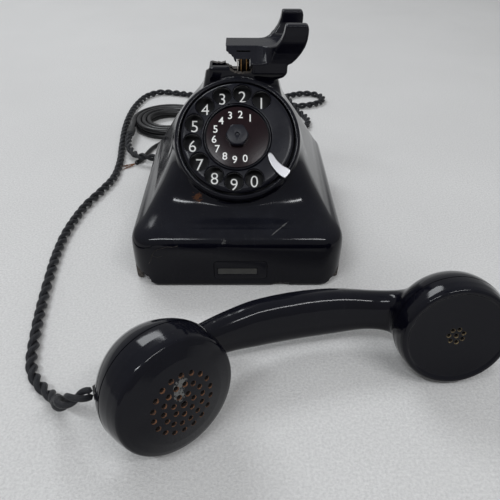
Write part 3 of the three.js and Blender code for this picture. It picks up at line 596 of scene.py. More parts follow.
def metal(name, color, roughness, tarnish=(0.05, 0.035, 0.02), worn=0.35):
    f = Finish(name, color, roughness, Metallic=1.0)
    spots = f.ramp(f.noise(190.0, 6.0, 0.65), 0.56, 0.78, 0.0, worn)
    f.color(f.mix(spots, color, tarnish))
    grain = f.noise(2400.0, 2.0, 0.5, f.stretched((1, 1, 0.04)))
    base = f.ramp(grain, 0.3, 0.7, roughness * 0.8, roughness * 1.25)
    f.rough(f.math("ADD", base, f.math("MULTIPLY", spots, 0.5), clamp=True))
    f.bump(grain, 0.000015)
    return f.material


def chrome():
    color = (0.38, 0.38, 0.395)
    f = Finish("chrome", color, 0.3, Metallic=0.9)
    pits = f.ramp(f.noise(1500.0, 4.0), 0.7, 0.76)
    f.color(f.mix(f.math("MULTIPLY", pits, 0.15), color, (0.17, 0.16, 0.14)))
    f.rough(f.ramp(f.noise(300.0, 4.0), 0.3, 0.8, 0.28, 0.33))
    f.bump(pits, -0.000004)
    return f.material


def plate_enamel():
    """Black enamel under the finger wheel, with a thin film of dirt."""
    film = ((120.0, 6.0, 0.6), 0.4, 0.8, 0.0875, (0.0715, 0.0665, 0.062))
    specks = ((1700.0, 2.0), 0.67, 0.74, 0.125, (0.14, 0.13, 0.12))
    return layered("number_plate", (0.003, 0.003, 0.004), 0.5, [film, specks],
                   ((160.0, 4.0), 0.3, 0.75, 0.4, 0.75), [((420.0, 3.0), 0.00003)], IOR=1.3)


def dial_card():
    """Dark red printed card under a clear disc, faded in patches."""
    fibres = (1900.0, 3.0)
    layers = [((70.0, 5.0), 0.4, 0.8, 1.0, (0.016, 0.006, 0.008)),
              (fibres, 0.4, 0.75, 0.5, (0.022, 0.011, 0.013))]
    return layered("dial_card", (0.009, 0.0035, 0.0055), 0.2, layers, bumps=[(fibres, 0.00002)], IOR=1.25)


def white_paint():
    color = (0.86, 0.86, 0.84)
    f = Finish("white_paint", color, 0.45)
    wear = f.ramp(f.noise(1400.0, 4.0, 0.7), 0.6, 0.78)
    f.color(f.mix(f.math("MULTIPLY", wear, 0.4), color, (0.3, 0.3, 0.29)))
    f.bump(wear, -0.00005)
    return f.material


def rubber():
    return layered("rubber", (0.014, 0.014, 0.015), 0.7, [((500.0, 5.0), 0.4, 0.8, 0.6, (0.06, 0.058, 0.055))],
                   ((220.0, 3.0), 0.3, 0.7, 0.6, 0.85), [((1300.0, 3.0), 0.00008)])


def aged_paper():
    fibres = (2600.0, 3.0, 0.6, (0.3, 1, 1))
    layers = [((150.0, 6.0, 0.65), 0.35, 0.75, 1.0, (0.045, 0.044, 0.04)),
              (fibres, 0.3, 0.8, 0.5, (0.018, 0.018, 0.017))]
    return layered("aged_paper", (0.028, 0.028, 0.026), 0.5, layers, bumps=[(fibres, 0.00004)])


def woven():
    """Braided textile: two families of yarn that cross at a slant, drawn on the cord's own coordinates."""
    color = (0.004, 0.0045, 0.0065)
    f = Finish("cord_twist", color, 0.42, IOR=1.38, Sheen_Weight=0.02, Sheen_Roughness=0.5)
    uv = f.add("SeparateXYZ", {0: f.coord.outputs["UV"]})
    u, v = (f.math("MULTIPLY", uv.outputs[axis], 9.0) for axis in (0, 1))
    slants = [f.math(way, u, v) for way in ("ADD", "SUBTRACT")]
    yarn = f.math("MAXIMUM", *(f.math("SINE", f.math("MULTIPLY", s, 2 * math.pi)) for s in slants))
    dust = f.ramp(f.noise(160.0, 6.0, 0.65), 0.45, 0.8)
    body = f.mix(f.ramp(yarn, -0.2, 0.9), color, (0.009, 0.010, 0.014))
    f.color(f.mix(f.math("MULTIPLY", dust, 0.3), body, (0.035, 0.035, 0.038)))
    f.bump(yarn, 0.0001)
    f.bump(f.noise(3800.0, 2.0), 0.00006)
    return f.material


def sheath():
    f = Finish("cord_sheath", (0.005, 0.005, 0.006), 0.36, IOR=1.4)
    dust = f.ramp(f.noise(110.0, 6.0, 0.65), 0.42, 0.75)
    f.color(f.mix(f.math("MULTIPLY", dust, 0.4), (0.004, 0.004, 0.005), (0.035, 0.034, 0.033)))
    f.rough(f.ramp(dust, 0.0, 1.0, 0.3, 0.5))
    f.bump(f.noise(900.0, 3.0), 0.00004)
    return f.material


def cloth():
    """The pale cloth that the telephone lies on: fine pile, faint creases."""
    f = Finish("cloth", (0.6, 0.6, 0.595), 0.95)
    pile = f.noise(620.0, 6.0, 0.7)
    soft = f.noise(5.5, 3.0, 0.5)
    nap = f.mix(f.ramp(soft, 0.3, 0.7), (0.73, 0.725, 0.715), (0.78, 0.775, 0.765))
    f.color(f.mix(f.ramp(pile, 0.3, 0.72), (0.60, 0.595, 0.59), nap))
    f.bump(pile, 0.0007)
    f.bump(soft, 0.004)
    return f.material


RUST, SCAR, CRUST = (-28.7, -61.3, 58.8), (-9.6, -89.2, 39.4), (-28.3, -230.9, 48.8)
WORN = [((RUST, RUST), 8.0, (0.06, 0.023, 0.010), 500.0), ((SCAR, SCAR), 4.0, (0.06, 0.06, 0.06), 900.0),
        (((24.0, -86.3, 42.5), (36.4, -76.0, 47.7)), 0.05, (0.09, 0.09, 0.09), 300.0)]
DRIED = [(ends, size, (0.11, 0.11, 0.105), 700.0)
         for ends, size in ((((-25.0, -227.6, 52.8), CRUST), 3.0), ((CRUST, (-26.7, -231.3, 43.5)), 2.6))]
BAKELITE = {
    "case": {"stains": WORN},
    "handset": {"dust": 0.7, "gloss": 0.07},
    "cradle": {"dust": 1.3, "gloss": 0.2, "tone": 1.1},
    "cap": {"dust": 0.6, "gloss": 0.07, "stains": DRIED},
    "trim": {"dust": 0.8, "gloss": 0.12},
    "wheel": {"dust": 1.2, "gloss": 0.19, "tone": 1.2},
    "knob": {"dust": 1.8, "gloss": 0.3, "tone": 1.6},
}
FINISH = {key: bakelite("bakelite_" + key, **look) for key, look in BAKELITE.items()} | {
    "broken": broken_bakelite(),
    "rust": rusted("rust_stain", (0.10, 0.036, 0.012), (0.27, 0.12, 0.045)),
    "rim_rust": rusted("rim_rust", (0.03, 0.013, 0.007), (0.20, 0.085, 0.035)),
    "verdigris": rusted("brass_stain", (0.03, 0.021, 0.010), (0.24, 0.18, 0.09)),
    "bore": rusted("bore_dirt", (0.004, 0.003, 0.003), (0.022, 0.012, 0.007)),
    "chrome": chrome(),
    "brass": metal("brass", (0.52, 0.36, 0.13), 0.3),
    "contact": metal("contact_brass", (0.36, 0.21, 0.09), 0.4, (0.05, 0.022, 0.01), 0.9),
    "nickel": metal("contact_nickel", (0.62, 0.58, 0.54), 0.35, (0.2, 0.12, 0.08), 0.6),
    "steel": metal("steel", (0.42, 0.42, 0.43), 0.34, (0.12, 0.06, 0.03)),
    "zinc": metal("zinc_plate", (0.33, 0.33, 0.34), 0.48, worn=0.5),
    "gong": metal("gong_steel", (0.55, 0.55, 0.56), 0.22),
    "capsule": metal("capsule_aluminium", (0.30, 0.29, 0.28), 0.5, worn=0.8),
    "plate": plate_enamel(),
    "card": dial_card(),
    "white": white_paint(),
    "rubber": rubber(),
    "paper": aged_paper(),
    "twist": woven(),
    "sheath": sheath(),
    "board": varnished("pressboard", (0.010, 0.007, 0.006), (0.026, 0.017, 0.012), 500.0, (1, 1, 0.1)),
    "winding": varnished("winding", (0.16, 0.05, 0.02), (0.30, 0.11, 0.045), 900.0, (1, 0.1, 0.1)),
    "phenolic": varnished("phenolic", (0.085, 0.035, 0.016), (0.15, 0.065, 0.03), 500.0, (1, 1, 0.1)),
    "cloth": cloth(),
    "flag": layered("black_card", (0.016,) * 3, 0.9, [((90.0,), 0.4, 0.7, 1.0, (0.024,) * 3)]),
}


# ---- camera -----------------------------------------------------------------------------------
def camera():
    data = bpy.data.cameras.new("camera")
    data.sensor_width, data.lens, data.clip_end = 36, CAMERA["lens"], 20
    obj = linked("camera", data)
    yaw, pitch, roll = (math.radians(CAMERA[k]) for k in ("yaw", "pitch", "roll"))
    ahead = Vector((math.sin(yaw) * math.cos(pitch), math.cos(yaw) * math.cos(pitch), -math.sin(pitch)))
    right = ahead.cross(Vector((0, 0, 1))).normalized()
    up = right.cross(ahead)
    c, s = math.cos(roll), math.sin(roll)
    axes = Matrix((right * c + up * s, up * c - right * s, -ahead)).transposed().to_4x4()
    obj.matrix_world = Matrix.Translation(Vector(at(*CAMERA["at"]))) @ axes
    bpy.context.scene.camera = obj


camera()


# ---- cords ------------------------------------------------------------------------------------
def sweep(line, radius, sides=12):
    """Tube verts, faces and UVs along a line. radius is a number or one per point; the ends are domed."""
    n, b = carried_frames(line)
    s = run_of(line)
    radius = np.broadcast_to(np.asarray(radius, float), len(line))
    edge = np.minimum(s, s[-1] - s)
    dome = np.sqrt(np.clip(1 - (1 - np.clip(edge / radius, 0, 1)) ** 2, 0.02, 1))
    a = 2 * math.pi * np.arange(sides) / sides
    ring = np.cos(a)[None, :, None] * n[:, None, :] + np.sin(a)[None, :, None] * b[:, None, :]
    verts = (line[:, None, :] + (radius * dome)[:, None, None] * ring).reshape(-1, 3)
    faces, uvs = [], []
    around = 2 * math.pi * float(radius.mean())
    for k in range(len(line) - 1):
        for i in range(sides):
            j = (i + 1) % sides
            faces.append((k * sides + i, k * sides + j, (k + 1) * sides + j, (k + 1) * sides + i))
            u0, u1, v0, v1 = i / sides, (i + 1) / sides, s[k] / around, s[k + 1] / around
            uvs += [(u0, v0), (u1, v0), (u1, v1), (u0, v1)]
    for k, order in ((0, -1), (len(line) - 1, 1)):
        faces.append(tuple(k * sides + i for i in range(sides))[::order])
        uvs += [(i / sides, s[k] / around) for i in range(sides)]
    return verts, faces, uvs


def tubes(name, lines_and_radii, sides=12):
    verts, faces, uvs, count = [], [], [], 0
    for line, radius in lines_and_radii:
        v, f, uv = sweep(line, radius, sides)
        verts.append(v)
        faces += [tuple(i + count for i in q) for q in f]
        uvs += uv
        count += len(v)
    obj = mesh_piece(name, np.vstack(verts), faces)
    layer = obj.data.uv_layers.new(name="UVMap")
    layer.data.foreach_set("uv", np.array(uvs, float).ravel())
    return obj


def strand_pair(name, line, spread=None, phase=0.0):
    """Two braided strands laid round each other along a line. spread is extra room between them."""
    n, b = carried_frames(line)
    s = run_of(line)
    wobble = 0.35 * np.sin(s / 23.0) + 0.25 * np.sin(s / 9.7 + 1.0)
    angle = 2 * math.pi * s / CORD["pitch"] + wobble + phase
    out = CORD["offset"] + (0 if spread is None else spread)
    side = (out * np.cos(angle))[:, None] * n + (out * np.sin(angle))[:, None] * b
    lump = CORD["strand"] * (1 + 0.02 * np.sin(s / 3.1))
    return tubes(name, [(line + side, lump), (line - side, lump)])


LIE = CORD["twist"] + 0.15
HANDSET_ROUTE = [
    (-82.2, -223.6, 34.6), (-89.2, -221.6, 29.2), (-94.6, -215.2, 21.2), (-98.8, -207, 13.2),
    (-104.4, -199, 6.9), (-112.5, -191, 4.1), (-120.5, -182, LIE),
    (-126, -170.5, LIE), (-130.5, -149, LIE), (-135, -120, LIE), (-139, -86, LIE), (-142, -52, LIE),
    (-142, -20, LIE), (-136.5, 19, LIE), (-127, 50, LIE), (-121, 74, LIE), (-121, 107, LIE),
    (-125.5, 146, LIE), (-130.5, 195, LIE), (-131.5, 237, LIE), (-128, 274, LIE), (-119, 303, LIE),
    (-104, 316, LIE), (-80, 312, LIE), (-55, 304, LIE), (-18, 299, LIE), (16, 292, LIE), (40, 281, LIE),
    (58, 272, LIE), (76, 268, LIE), (91, 272.5, LIE), (103.5, 282, LIE), (108, 296, LIE), (101, 309, LIE),
    (86, 313, LIE), (70, 307, LIE), (59.5, 296, 5.2), (56.5, 283, 9.4), (60, 270.5, 11.8), (66, 259, 9),
    (72, 247, 4.8), (79, 233, LIE), (81.5, 218, LIE), (77, 200, LIE), (67, 180, LIE), (55, 158, LIE),
    (46, 136, 4.6), (41, 114, 10), (OUTLET["x"], 102, OUTLET["z"] - 0.8), (OUTLET["x"], 98.5, OUTLET["z"]),
    (OUTLET["x"], OUTLET["end"] + CLEAR, OUTLET["z"])]
LINE_ROUTE = [
    (-OUTLET["x"], OUTLET["end"] + CLEAR, OUTLET["z"]), (-OUTLET["x"], 98.5, OUTLET["z"]),
    (-OUTLET["x"] - 1.4, 103, OUTLET["z"] - 1), (-48, 110.5, 9), (-62, 113.5, 6), (-76, 111, 6.6),
    (-88, 108, 9), (-97, 108.6, 9.6), (-104, 113, 9), (-110, 122, 8), (-115.6, 134, 8.4),
    (-118.4, 147, 9.2), (-119.8, 160, 9.4), (-119.6, 172, 9.5)]
TAIL_ROUTE = [
    (-66, 168.8, 2.95), (-76, 162.6, 2.95), (-85, 155.5, 2.9), (-91.4, 147, 2.6), (-95, 138, 2.3),
    (-97.8, 127, 2.3), (-101.4, 115, 2.3), (-106, 107.4, 2.3)]


def handset_cord():
    tip = lay([(GLAND["tip"] - out, GLAND["y"], 0) for out in (CLEAR, 4.1)])
    line = spline([*tip, *HANDSET_ROUTE], 1.3)[::-1]
    to_gland = length_of(line) - run_of(line)
    spread = 0.9 * np.exp(-((to_gland - 21) / 5.5) ** 2)
    obj = dressed(strand_pair("handset_cord", line, spread), "twist", ["handset_cord"])
    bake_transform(obj)


def coil_line():
    """Two layers of turns, wound inwards above and outwards on the floor, clockwise from above."""
    out, inn, high, low = COIL["outer"] - CORD["round"], COIL["inner"] + CORD["round"], 8.75, 2.95
    stages = ((195, 1090, out, inn, high, high), (-895, 245, inn, inn, high, low),
              (-1140, 1080, inn, out, low, low))
    pts = [LINE_ROUTE[-1], (-119.8, 180, 9.4)]
    for start, swept, r0, r1, z0, z1 in stages:
        for k in range(swept // 15):
            t, a = k * 15 / swept, start - k * 15
            loose = 0.35 * math.sin(math.radians(1.7 * a)) + 0.25 * math.sin(math.radians(3.1 * a + 40))
            x, y = polar(between(r0, r1, t) + loose * 0.5, a)
            z = between(z0, z1, ramp_up(t, 0, 1)) + (0.3 + loose * 0.5 if z0 == high else 0)
            pts.append((COIL["x"] + x, COIL["y"] + y, z))
    return spline(pts + TAIL_ROUTE, 2.2)


def wire_ends():
    """Bare copper strands that stick out of the tail, browned and splayed."""
    rng = np.random.default_rng(7)
    x0, y0, z0 = -105.4, 107.9, TAIL_ROUTE[-1][2]
    lines = []
    for k in range(9):
        c, s = polar(1, 205 + 46 * (k / 8 - 0.5) + rng.normal(0, 4))
        reach = rng.uniform(10, 18)
        pts = [(x0, y0, z0)]
        for t in (0.3, 0.65, 1.0):
            along, aside = reach * t, 2.2 * math.sin(3 * t + k) * t
            drop = max(0.5, z0 - 1.8 * t + rng.normal(0, 0.3))
            pts.append((x0 + along * c - aside * s, y0 + along * s + aside * c, drop))
        lines.append((spline(pts, 0.8), 0.24))
    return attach(dressed(tubes("wire_ends", lines, 6), "rust"), "telephone")


def line_cord():
    twisted = spline(LINE_ROUTE, 1.3)
    pair = dressed(strand_pair("line_cord", twisted, phase=0.8), "twist", ["line_cord"])
    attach(pair, "telephone")
    smooth = coil_line()
    to_end = run_of(smooth) - length_of(smooth)
    radius = between(CORD["round"], CORD["tail"], ramp_up(to_end, -88, -74))
    coil = dressed(tubes("line_cord_coil", [(smooth, radius)], 14), "sheath",
                   ["line_cord_coil", "line_cord_tail"])
    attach(coil, "telephone")
    joint = [(0, -1), (3.2, -1), (4.3, 1), (4.5, 7), (4.3, 13), (3.3, 15), (0, 15)]
    heading = smooth[4] - smooth[0]
    spin = np.array(Vector((0, 0, 1)).rotation_difference(Vector(heading)).to_matrix())
    sleeve = lathe("cord_joint", joint, 48, 0.8, lambda v: v @ spin.T + (smooth[0] - heading / 1.6))
    settle(sleeve, "telephone", finish="rubber")
    wire_ends()


handset_cord()
line_cord()


# ---- housing ----------------------------------------------------------------------------------
# height, then how far the side, front and back stand in, corner radius, and how much wider the back is
SKIRT = [
    (1, 0.8, 0.8, 0.8, 16, 0), (20, 0.2, 0.2, 0.2, 16, 0), (33, 0, 0, 0, 16.5, 0),
    (37, 0.6, 0.6, 0.4, 16.5, 0), (40, 2, 2.1, 1.2, 17, 0), (42.4, 4.6, 4.6, 2.4, 17.5, 1.2),
    (44.6, 8, 7.8, 3.6, 18, 3)]
# the same, with the side, front and back as shares of the way from the skirt's top to the neck
WAIST = [
    (47, 0.055, 0.072, 0.018, 18, 3.8), (50, 0.12, 0.152, 0.04, 18, 4.6), (53, 0.17, 0.21, 0.063, 18, 5),
    (56.5, 0.222, 0.255, 0.094, 18, 5.4), (61, 0.288, 0.293, 0.138, 18, 5.6),
    (72, 0.433, 0.35, 0.259, 19, 5.4), (84, 0.582, 0.432, 0.419, 19, 4), (96, 0.731, 0.546, 0.589, 18, 2),
    (106, 0.861, 0.697, 0.73, 16, 0), (114, 0.95, 0.849, 0.86, 13, 0), (119, 0.985, 0.968, 0.95, 10, 0),
    (121.5, 1, 1, 1, 9, 0)]


def housing_levels():
    w, l = BODY["half_w"], BODY["half_l"]
    rows = [(z, w - side, front - l, l - back, r, flare) for z, side, front, back, r, flare in SKIRT]
    _, hx, y0, y1, _, _ = rows[-1]
    for z, side, front, back, r, flare in WAIST:
        rows.append((z, between(hx, NECK["half_w"] - 0.6, side), between(y0, NECK["y0"], front),
                     between(y1, NECK["y1"] + NECK["back"], back), r, flare))
    rows += [(124.2, 26.6, NECK["y0"] + 0.4, 32, 8, 0), (126.2, 24, NECK["y0"] + 2, 27, 7, 0)]
    return rows


def jagged(outline, step, amount, seed, keep=None):
    """An outline broken into short uneven edges. Points for which keep(x, y) is true stay straight."""
    rng, out = np.random.default_rng(seed), []
    p = np.array(outline, float)
    for i, a in enumerate(p):
        b = p[(i + 1) % len(p)]
        n = max(int(np.linalg.norm(b - a) / step), 1)
        for k in range(n):
            q = a + (b - a) * (k + (rng.uniform(-0.25, 0.25) if k else 0)) / n
            moved = q if keep and keep(*q) else q + rng.normal(0, amount, 2)
            out.append(tuple(moved))
    return out


def leaning(ring):
    """The neck stands to the right of the dial, and the housing leans over to it."""
    run = LEAN["to"] - LEAN["from"]
    return [(x + NECK["aside"] * min(1, max(0, (z - LEAN["from"]) / run)), y, z) for x, y, z in ring]


def neck_solids():
    w, y0, y1 = NECK["half_w"], NECK["y0"], NECK["y1"]
    rows = [(104, w + 4, y0, y1 + 6, 7), (112, w + 2, y0, y1 + 4, 7), (119, w, y0, y1 + 1, 6),
            (128, w - 2, y0, y1, 5), (132.5, w - 3, y0, y1, 5)]
    body = loft("neck", [leaning(round_rect(z, hx, a, b, r, 14)) for z, hx, a, b, r in rows])
    top = NECK["top"]
    outline = [(-20.6, top), (34, top), (36.4, top - 0.6), (36.8, top - 2.6), (36.2, 129.6), (34.2, 127.2),
               (31, NECK["rim"]), (-20.6, NECK["rim"])]
    return [body, prism_xz("rim", outline, y0 - 1, y1)]


def housing_breaks():
    """Missing pieces: the rim's left end, a bite out of the rim, and chips along the lower edge."""
    front = -BODY["half_l"] - 4
    left = [(-90, -2), (-57.5, -2), (-58.6, 1.6), (-63.4, 4.4), (-64.6, 10.4), (-70, 12), (-74.4, 14.6),
            (-90, 15.4)]
    right = [(90, -2), (61, -2), (65, 2.8), (70, 6.4), (73.2, 11), (75.2, 14.4), (90, 15.4)]
    edge = [(23, -2), (40, -2), (37.6, 3), (31, 4), (26, 3.2)]
    bite = [(-8, 138), (-5.6, 133.4), (-3.4, 131.2), (1, 130.2), (9.2, 130.4), (11, 133), (12, 138)]
    back_bite = [(-24, 133), (-9.4, 133), (-7, 131.2), (-3.6, 128.8), (2, 128.2), (11, 128.6), (12, 131),
                 (12, 138), (-24, 138)]
    top_left = [(-45, 131.6), (-21.4, 131.8), (-20.6, 133.6), (-20.2, 142), (-45, 142)]
    back_left = [(-45, 127), (-21.8, 127.2), (-20.8, 129.4), (-20.4, 142), (-45, 142)]

    def off_skin(x, z):
        return z < -0.5 or abs(x) > 79 or z > 135

    def off_neck(x, z):
        return x < -40 or z > 137

    rows = [(left, 1.6, 0.22, 1, off_skin, front, front + 15),
            (right, 1.6, 0.22, 2, off_skin, front, front + 16), (edge, 1.4, 0.2, 3, off_skin, front, front + 9),
            (bite, 1.2, 0.3, 4, off_skin, NECK["y0"] - 3, SLOT["y0"] + 0.4),
            (back_bite, 1.2, 0.3, 8, off_skin, SLOT["y1"] - 0.4, NECK["y1"] + 2),
            (top_left, 1.5, 0.22, 5, off_neck, -20, 40), (back_left, 1.5, 0.22, 6, off_neck, -1, 40)]
    return [prism_xz("chip", jagged(outline, step, amount, seed, keep), y0, y1)
            for outline, step, amount, seed, keep, y0, y1 in rows]


CRACKS = [
    [(-67.5, 10), (-66.4, 13.6), (-64.8, 16.4), (-63.9, 20.2), (-61.7, 24.1), (-60.6, 28.7), (-58.4, 32),
     (-55.9, 34), (-52.6, 34.6), (-49.2, 35.9), (-45, 35.6), (-41.4, 36.6)],
    [(-60.6, 28.7), (-57, 27.2), (-53.6, 27.9)],
    [(-13.5, 38.9), (-11.2, 40.3), (-9.4, 39.9), (-7.6, 41.2)]]


def cracks():
    """Hairlines in the front of the skirt, as thin wedges to cut away."""
    out, half_width, depth = [], 0.24, 0.55
    for line in CRACKS:
        p = np.array(line, float)
        t = np.gradient(p, axis=0)
        n = np.stack([-t[:, 1], t[:, 0]], -1) / np.linalg.norm(t, axis=1)[:, None]
        width = half_width * np.linspace(1, 0.5, len(p))[:, None]
        outline = [tuple(q) for q in np.vstack([p + n * width, (p - n * width)[::-1]])]
        out.append(prism_xz("crack", outline, -BODY["half_l"] - 2, -BODY["half_l"] + depth))
    return out


def label_pocket():
    cx, half = (LABEL["x0"] + LABEL["x1"]) / 2, (LABEL["x1"] - LABEL["x0"]) / 2
    rings = []
    steps = ((-95, 0.5), (-91.6, 0.5), (-91.1, 0.35), (-90.7, 0.05), (-90.3, -0.05), (LABEL["floor"], -0.2))
    for y, grow in steps:
        ring = round_rect(0, half + grow, LABEL["z0"] - grow, LABEL["z1"] + grow, 3.4 + grow, 10)
        rings.append([(x + cx, y, z) for x, z, _ in ring])
    return loft("pocket", rings)


def collar_root(v):
    """Where the dial's collar grows out of the shoulder: full weight there, none at the collar's rim."""
    d = (v - (0, DIAL["y"], DIAL["z"])) @ turn("x", 90 - DIAL["tilt"])
    r, z = np.hypot(d[:, 0], d[:, 1]), d[:, 2]
    skin = np.interp(-z, (4.5, 12.5, 34), (HOUSING["r"] - 0.6, HOUSING["r"] + 1, HOUSING["r"] + 6.4))
    root = ramp_up(-z, 8, 13) * (1 - ramp_up(np.abs(r - skin), 5, 15)) * (d[:, 1] < 20)
    clear_of_collar = ramp_up(r - skin, 1, 10)
    waist = ramp_up(v[:, 2], 50, 62) * (1 - ramp_up(v[:, 2], 96, 112)) * np.where(z > -9, clear_of_collar, 1)
    return np.maximum(root, waist)


def case_cutters(levels):
    """The hollow inside, the dial's pit, the neck's slot, the label's recess and the two cord outlets."""
    t, r, behind = BODY["wall"], HOUSING["r"], 80
    ceiling, slopes, sink = 110, 41, 1.6
    _, hx, y0, y1, r0, _ = levels[0]
    inner = [round_rect(-1, hx - t, y0 + t, y1 - t, r0 - t, 12)]
    for z, hx, y0, y1, r0, flare in levels:
        if z < ceiling:
            under = z - sink if z > slopes else z
            inner.append(leaning(round_rect(under, hx - t, y0 + t, y1 - t, max(r0 - t, 2), 12, flare)))
    throat, well, ledge, top = HOUSING["throat"], BEZEL["well"], -HOUSING["ledge"], -HOUSING["top"]
    pit = [(0, -40), (throat, -40), (throat, ledge), (well, ledge), (well, top), (r + 1, top), (r + 1, 30),
           (0, 30)]
    bore, x, z = OUTLET["bore"], OUTLET["x"], OUTLET["z"]
    outlet = [(0, behind), (bore, behind), (bore, behind + 10), (bore + 1, behind + 16), (0, behind + 16)]
    bores = [lathe("bore", outlet, 48, place=lambda v, s=s: v[:, [0, 2, 1]] * (1, 1, -1) + (s * x, 0, z))
             for s in (-1, 1)]
    slot = block("slot", SLOT["x0"], SLOT["x1"], SLOT["y0"], SLOT["y1"], 100, 140)
    return [loft("inner", inner), lathe("pit", pit, 200, place=in_dial), slot, label_pocket(), *bores]


def case_shell():
    levels = housing_levels()
    skin = loft("case_shell", [leaning(round_rect(z, hx, y0, y1, r, 26, flare))
                               for z, hx, y0, y1, r, flare in spline(levels, 1.6)])
    r, top = HOUSING["r"], -HOUSING["top"]
    collar = [(0, -34), (r + 6.4, -34), (r + 1, -12.5), (r, top - 1), (r - 0.6, top), (0, top)]
    parts = [skin, lathe("collar", collar, 200, place=in_dial), *neck_solids()]
    case = painted(eased(fused("case_shell", parts, 0.9, 14), collar_root, 220), "case", "broken")
    cut_all(case, case_cutters(levels))
    cut_all(case, housing_breaks() + cracks(), inside=1)
    settle(case, "telephone", ["case_shell"], sharp=38)


def label_strip():
    """A faded card behind the label window, lifting a little at one end."""
    back = LABEL["floor"] - CLEAR
    rings = []
    for k in range(29):
        x = -14 + k
        lift = 0.10 * (k / 28) ** 3
        trim = 0.25 if k in (0, 28) else 0.12 * math.sin(k * 1.9) ** 2
        y0, y1, z0, z1 = back - 0.92 - lift, back - 0.62 - lift, 11.6 + trim, 16.6 - trim
        rings.append([(x, y0, z0), (x, y1, z0), (x, y1, z1), (x, y0, z1)])
    settle(loft("label_strip", rings), "telephone", ["label_strip"], "paper")


# ---- dial -------------------------------------------------------------------------------------
def hole_places():
    return [polar(WHEEL["hole_ring"], WHEEL["first"] + WHEEL["step"] * k) for k in range(10)]


def finger_wheel():
    r, seat, thick, hole = WHEEL["r"], WHEEL["seat"], WHEEL["thick"], WHEEL["hole_r"]
    profile = [(3, -thick), (3, -1.4), (seat, -1.4), (seat, 0), (r - 3.1, 0), (r - 1.5, -0.35),
               (r - 0.5, -1.2), (r, -2.2), (r, -thick)]
    wheel = lathe("finger_wheel", profile, 256, 0.5)
    cutter = [(0, -6), (hole, -6), (hole, -1.1), (hole + 0.12, -0.7), (hole + 0.4, -0.3), (hole + 0.8, -0.06),
              (hole + 1.1, 0.3), (hole + 1.1, 2), (0, 2)]
    for x, y in hole_places():
        combined(wheel, lathe("hole", cutter, 72, place=lambda v, x=x, y=y: v + (x, y, 0)))
    settle(warp(wheel, in_dial), "dial", ["finger_wheel"], "wheel")


def dial_rings():
    seat, b = WHEEL["seat"], BEZEL
    card = [(0, -1.1), (seat - 2.4, -1.1), (seat - 2.4, -0.3), (8, -0.04), (0, 0)]
    settle(lathe("centre_card", card, 160, 0.1, in_dial), "dial", ["centre_card"], "card")
    ring = [(seat - 2, -1.1), (seat - CLEAR, -1.1), (seat - CLEAR, 0.3), (seat - 0.9, 1), (seat - 1.6, 0.9)]
    settle(lathe("card_ring", ring, 200, 0.35, in_dial), "dial", ["card_ring"], "trim")
    skirt = b["well"] - CLEAR
    collar = [(b["inner"], -2.5), (b["inner"] + 1.1, -2.1), (b["outer"] - 0.6, -2.7), (b["outer"], -3.8),
              (b["outer"], -4.2), (skirt, -4.2), (skirt, -9.4), (b["inner"], -9.4)]
    settle(lathe("dial_bezel", collar, 256, 0.5, in_dial), "telephone", ["dial_bezel"], "trim")


def bevelled(obj, width, segments, degrees):
    step = obj.modifiers.new("bevel", "BEVEL")
    step.width, step.segments = width, segments
    step.limit_method, step.angle_limit = "ANGLE", math.radians(degrees)
    return obj


def centre_nut():
    top = CLEAR + 5.6
    hexagon = [polar(8.2, 60 * k) for k in range(6)]
    nut = prism("centre_nut", softened(hexagon, 0.9, keep_axis=False), CLEAR, top)
    crown = [(0, CLEAR - 1), (9, CLEAR - 1), (9, top - 2), (8.0, top - 0.7), (7.2, top - 0.2), (6.4, top),
             (0, top)]
    combined(nut, lathe("crown", crown, 120), "INTERSECT")
    dimple = [(0, 5.1), (1.1, 5.1), (1.1, 5.35), (1.7, 5.8), (1.9, 7), (0, 7)]
    combined(nut, lathe("dimple", dimple, 40))
    nut = baked(bevelled(nut, 0.3, 3, 28))
    settle(warp(nut, in_dial), "dial", ["centre_nut"], "knob")


def finger_stop():
    blade = [(22.3, -12.3), (23.4, -12), (25.2, -13.6), (28, -17.6), (31.6, -21), (36.9, -24.2), (37.4, -25),
             (34, -30), (33, -30.3), (29.4, -28), (26, -24.2), (23.4, -20), (21.9, -15.6), (21.7, -13.2)]
    closed = spline([(x, y, 0) for x, y in blade + blade[:1]], 0.5)[:-1, :2]
    foot = [(34.6, -24.4), (36.9, -24.6), (37.0, -25.4), (34.4, -29.2), (32.7, -29.6)]
    stop = fused("finger_stop", [prism("blade", closed, 1, 2.55), prism("foot", foot, -1.6, 1.4)], 0.22, 5)
    settle(warp(stop, in_dial), "telephone", ["finger_stop"], "chrome", sharp=60)


def figures(name, marks, height, z, body, weight):
    """Digits 1 to 9 and 0, upright in the dial's plane, centred on marks, with strokes widened by weight."""
    parts = []
    for digit, mark in zip("1234567890", marks):
        text = bpy.data.curves.new("digit", "FONT")
        text.body, text.size, text.extrude, text.offset, text.resolution_u = digit, 1.0, 0.01, weight, 6
        holder = linked("digit", text)
        graph = bpy.context.evaluated_depsgraph_get()
        obj = bpy.data.objects.new("digit", bpy.data.meshes.new_from_object(holder.evaluated_get(graph)))
        bpy.data.objects.remove(holder)
        v = points_of(obj)
        low, high = v.min(0), v.max(0)
        flat = (v - (low + high) / 2)[:, :2] * height / (high[1] - low[1]) + mark
        set_points(obj, np.column_stack([flat, z + (v[:, 2] > 0) * 0.09]))
        parts.append(obj)
    settle(warp(gathered(name, parts), in_dial), body, finish="white")


def digits():
    large = [polar(32.8, WHEEL["first"] + WHEEL["step"] * k) for k in range(10)]
    small = [polar(16.6, 56.5 + 25.9 * k) for k in range(10)]
    figures("dial_numbers", large, 8.5, -8.42, "telephone", -0.006)
    figures("card_numbers", small, 5.4, -0.14, "dial", 0.008)


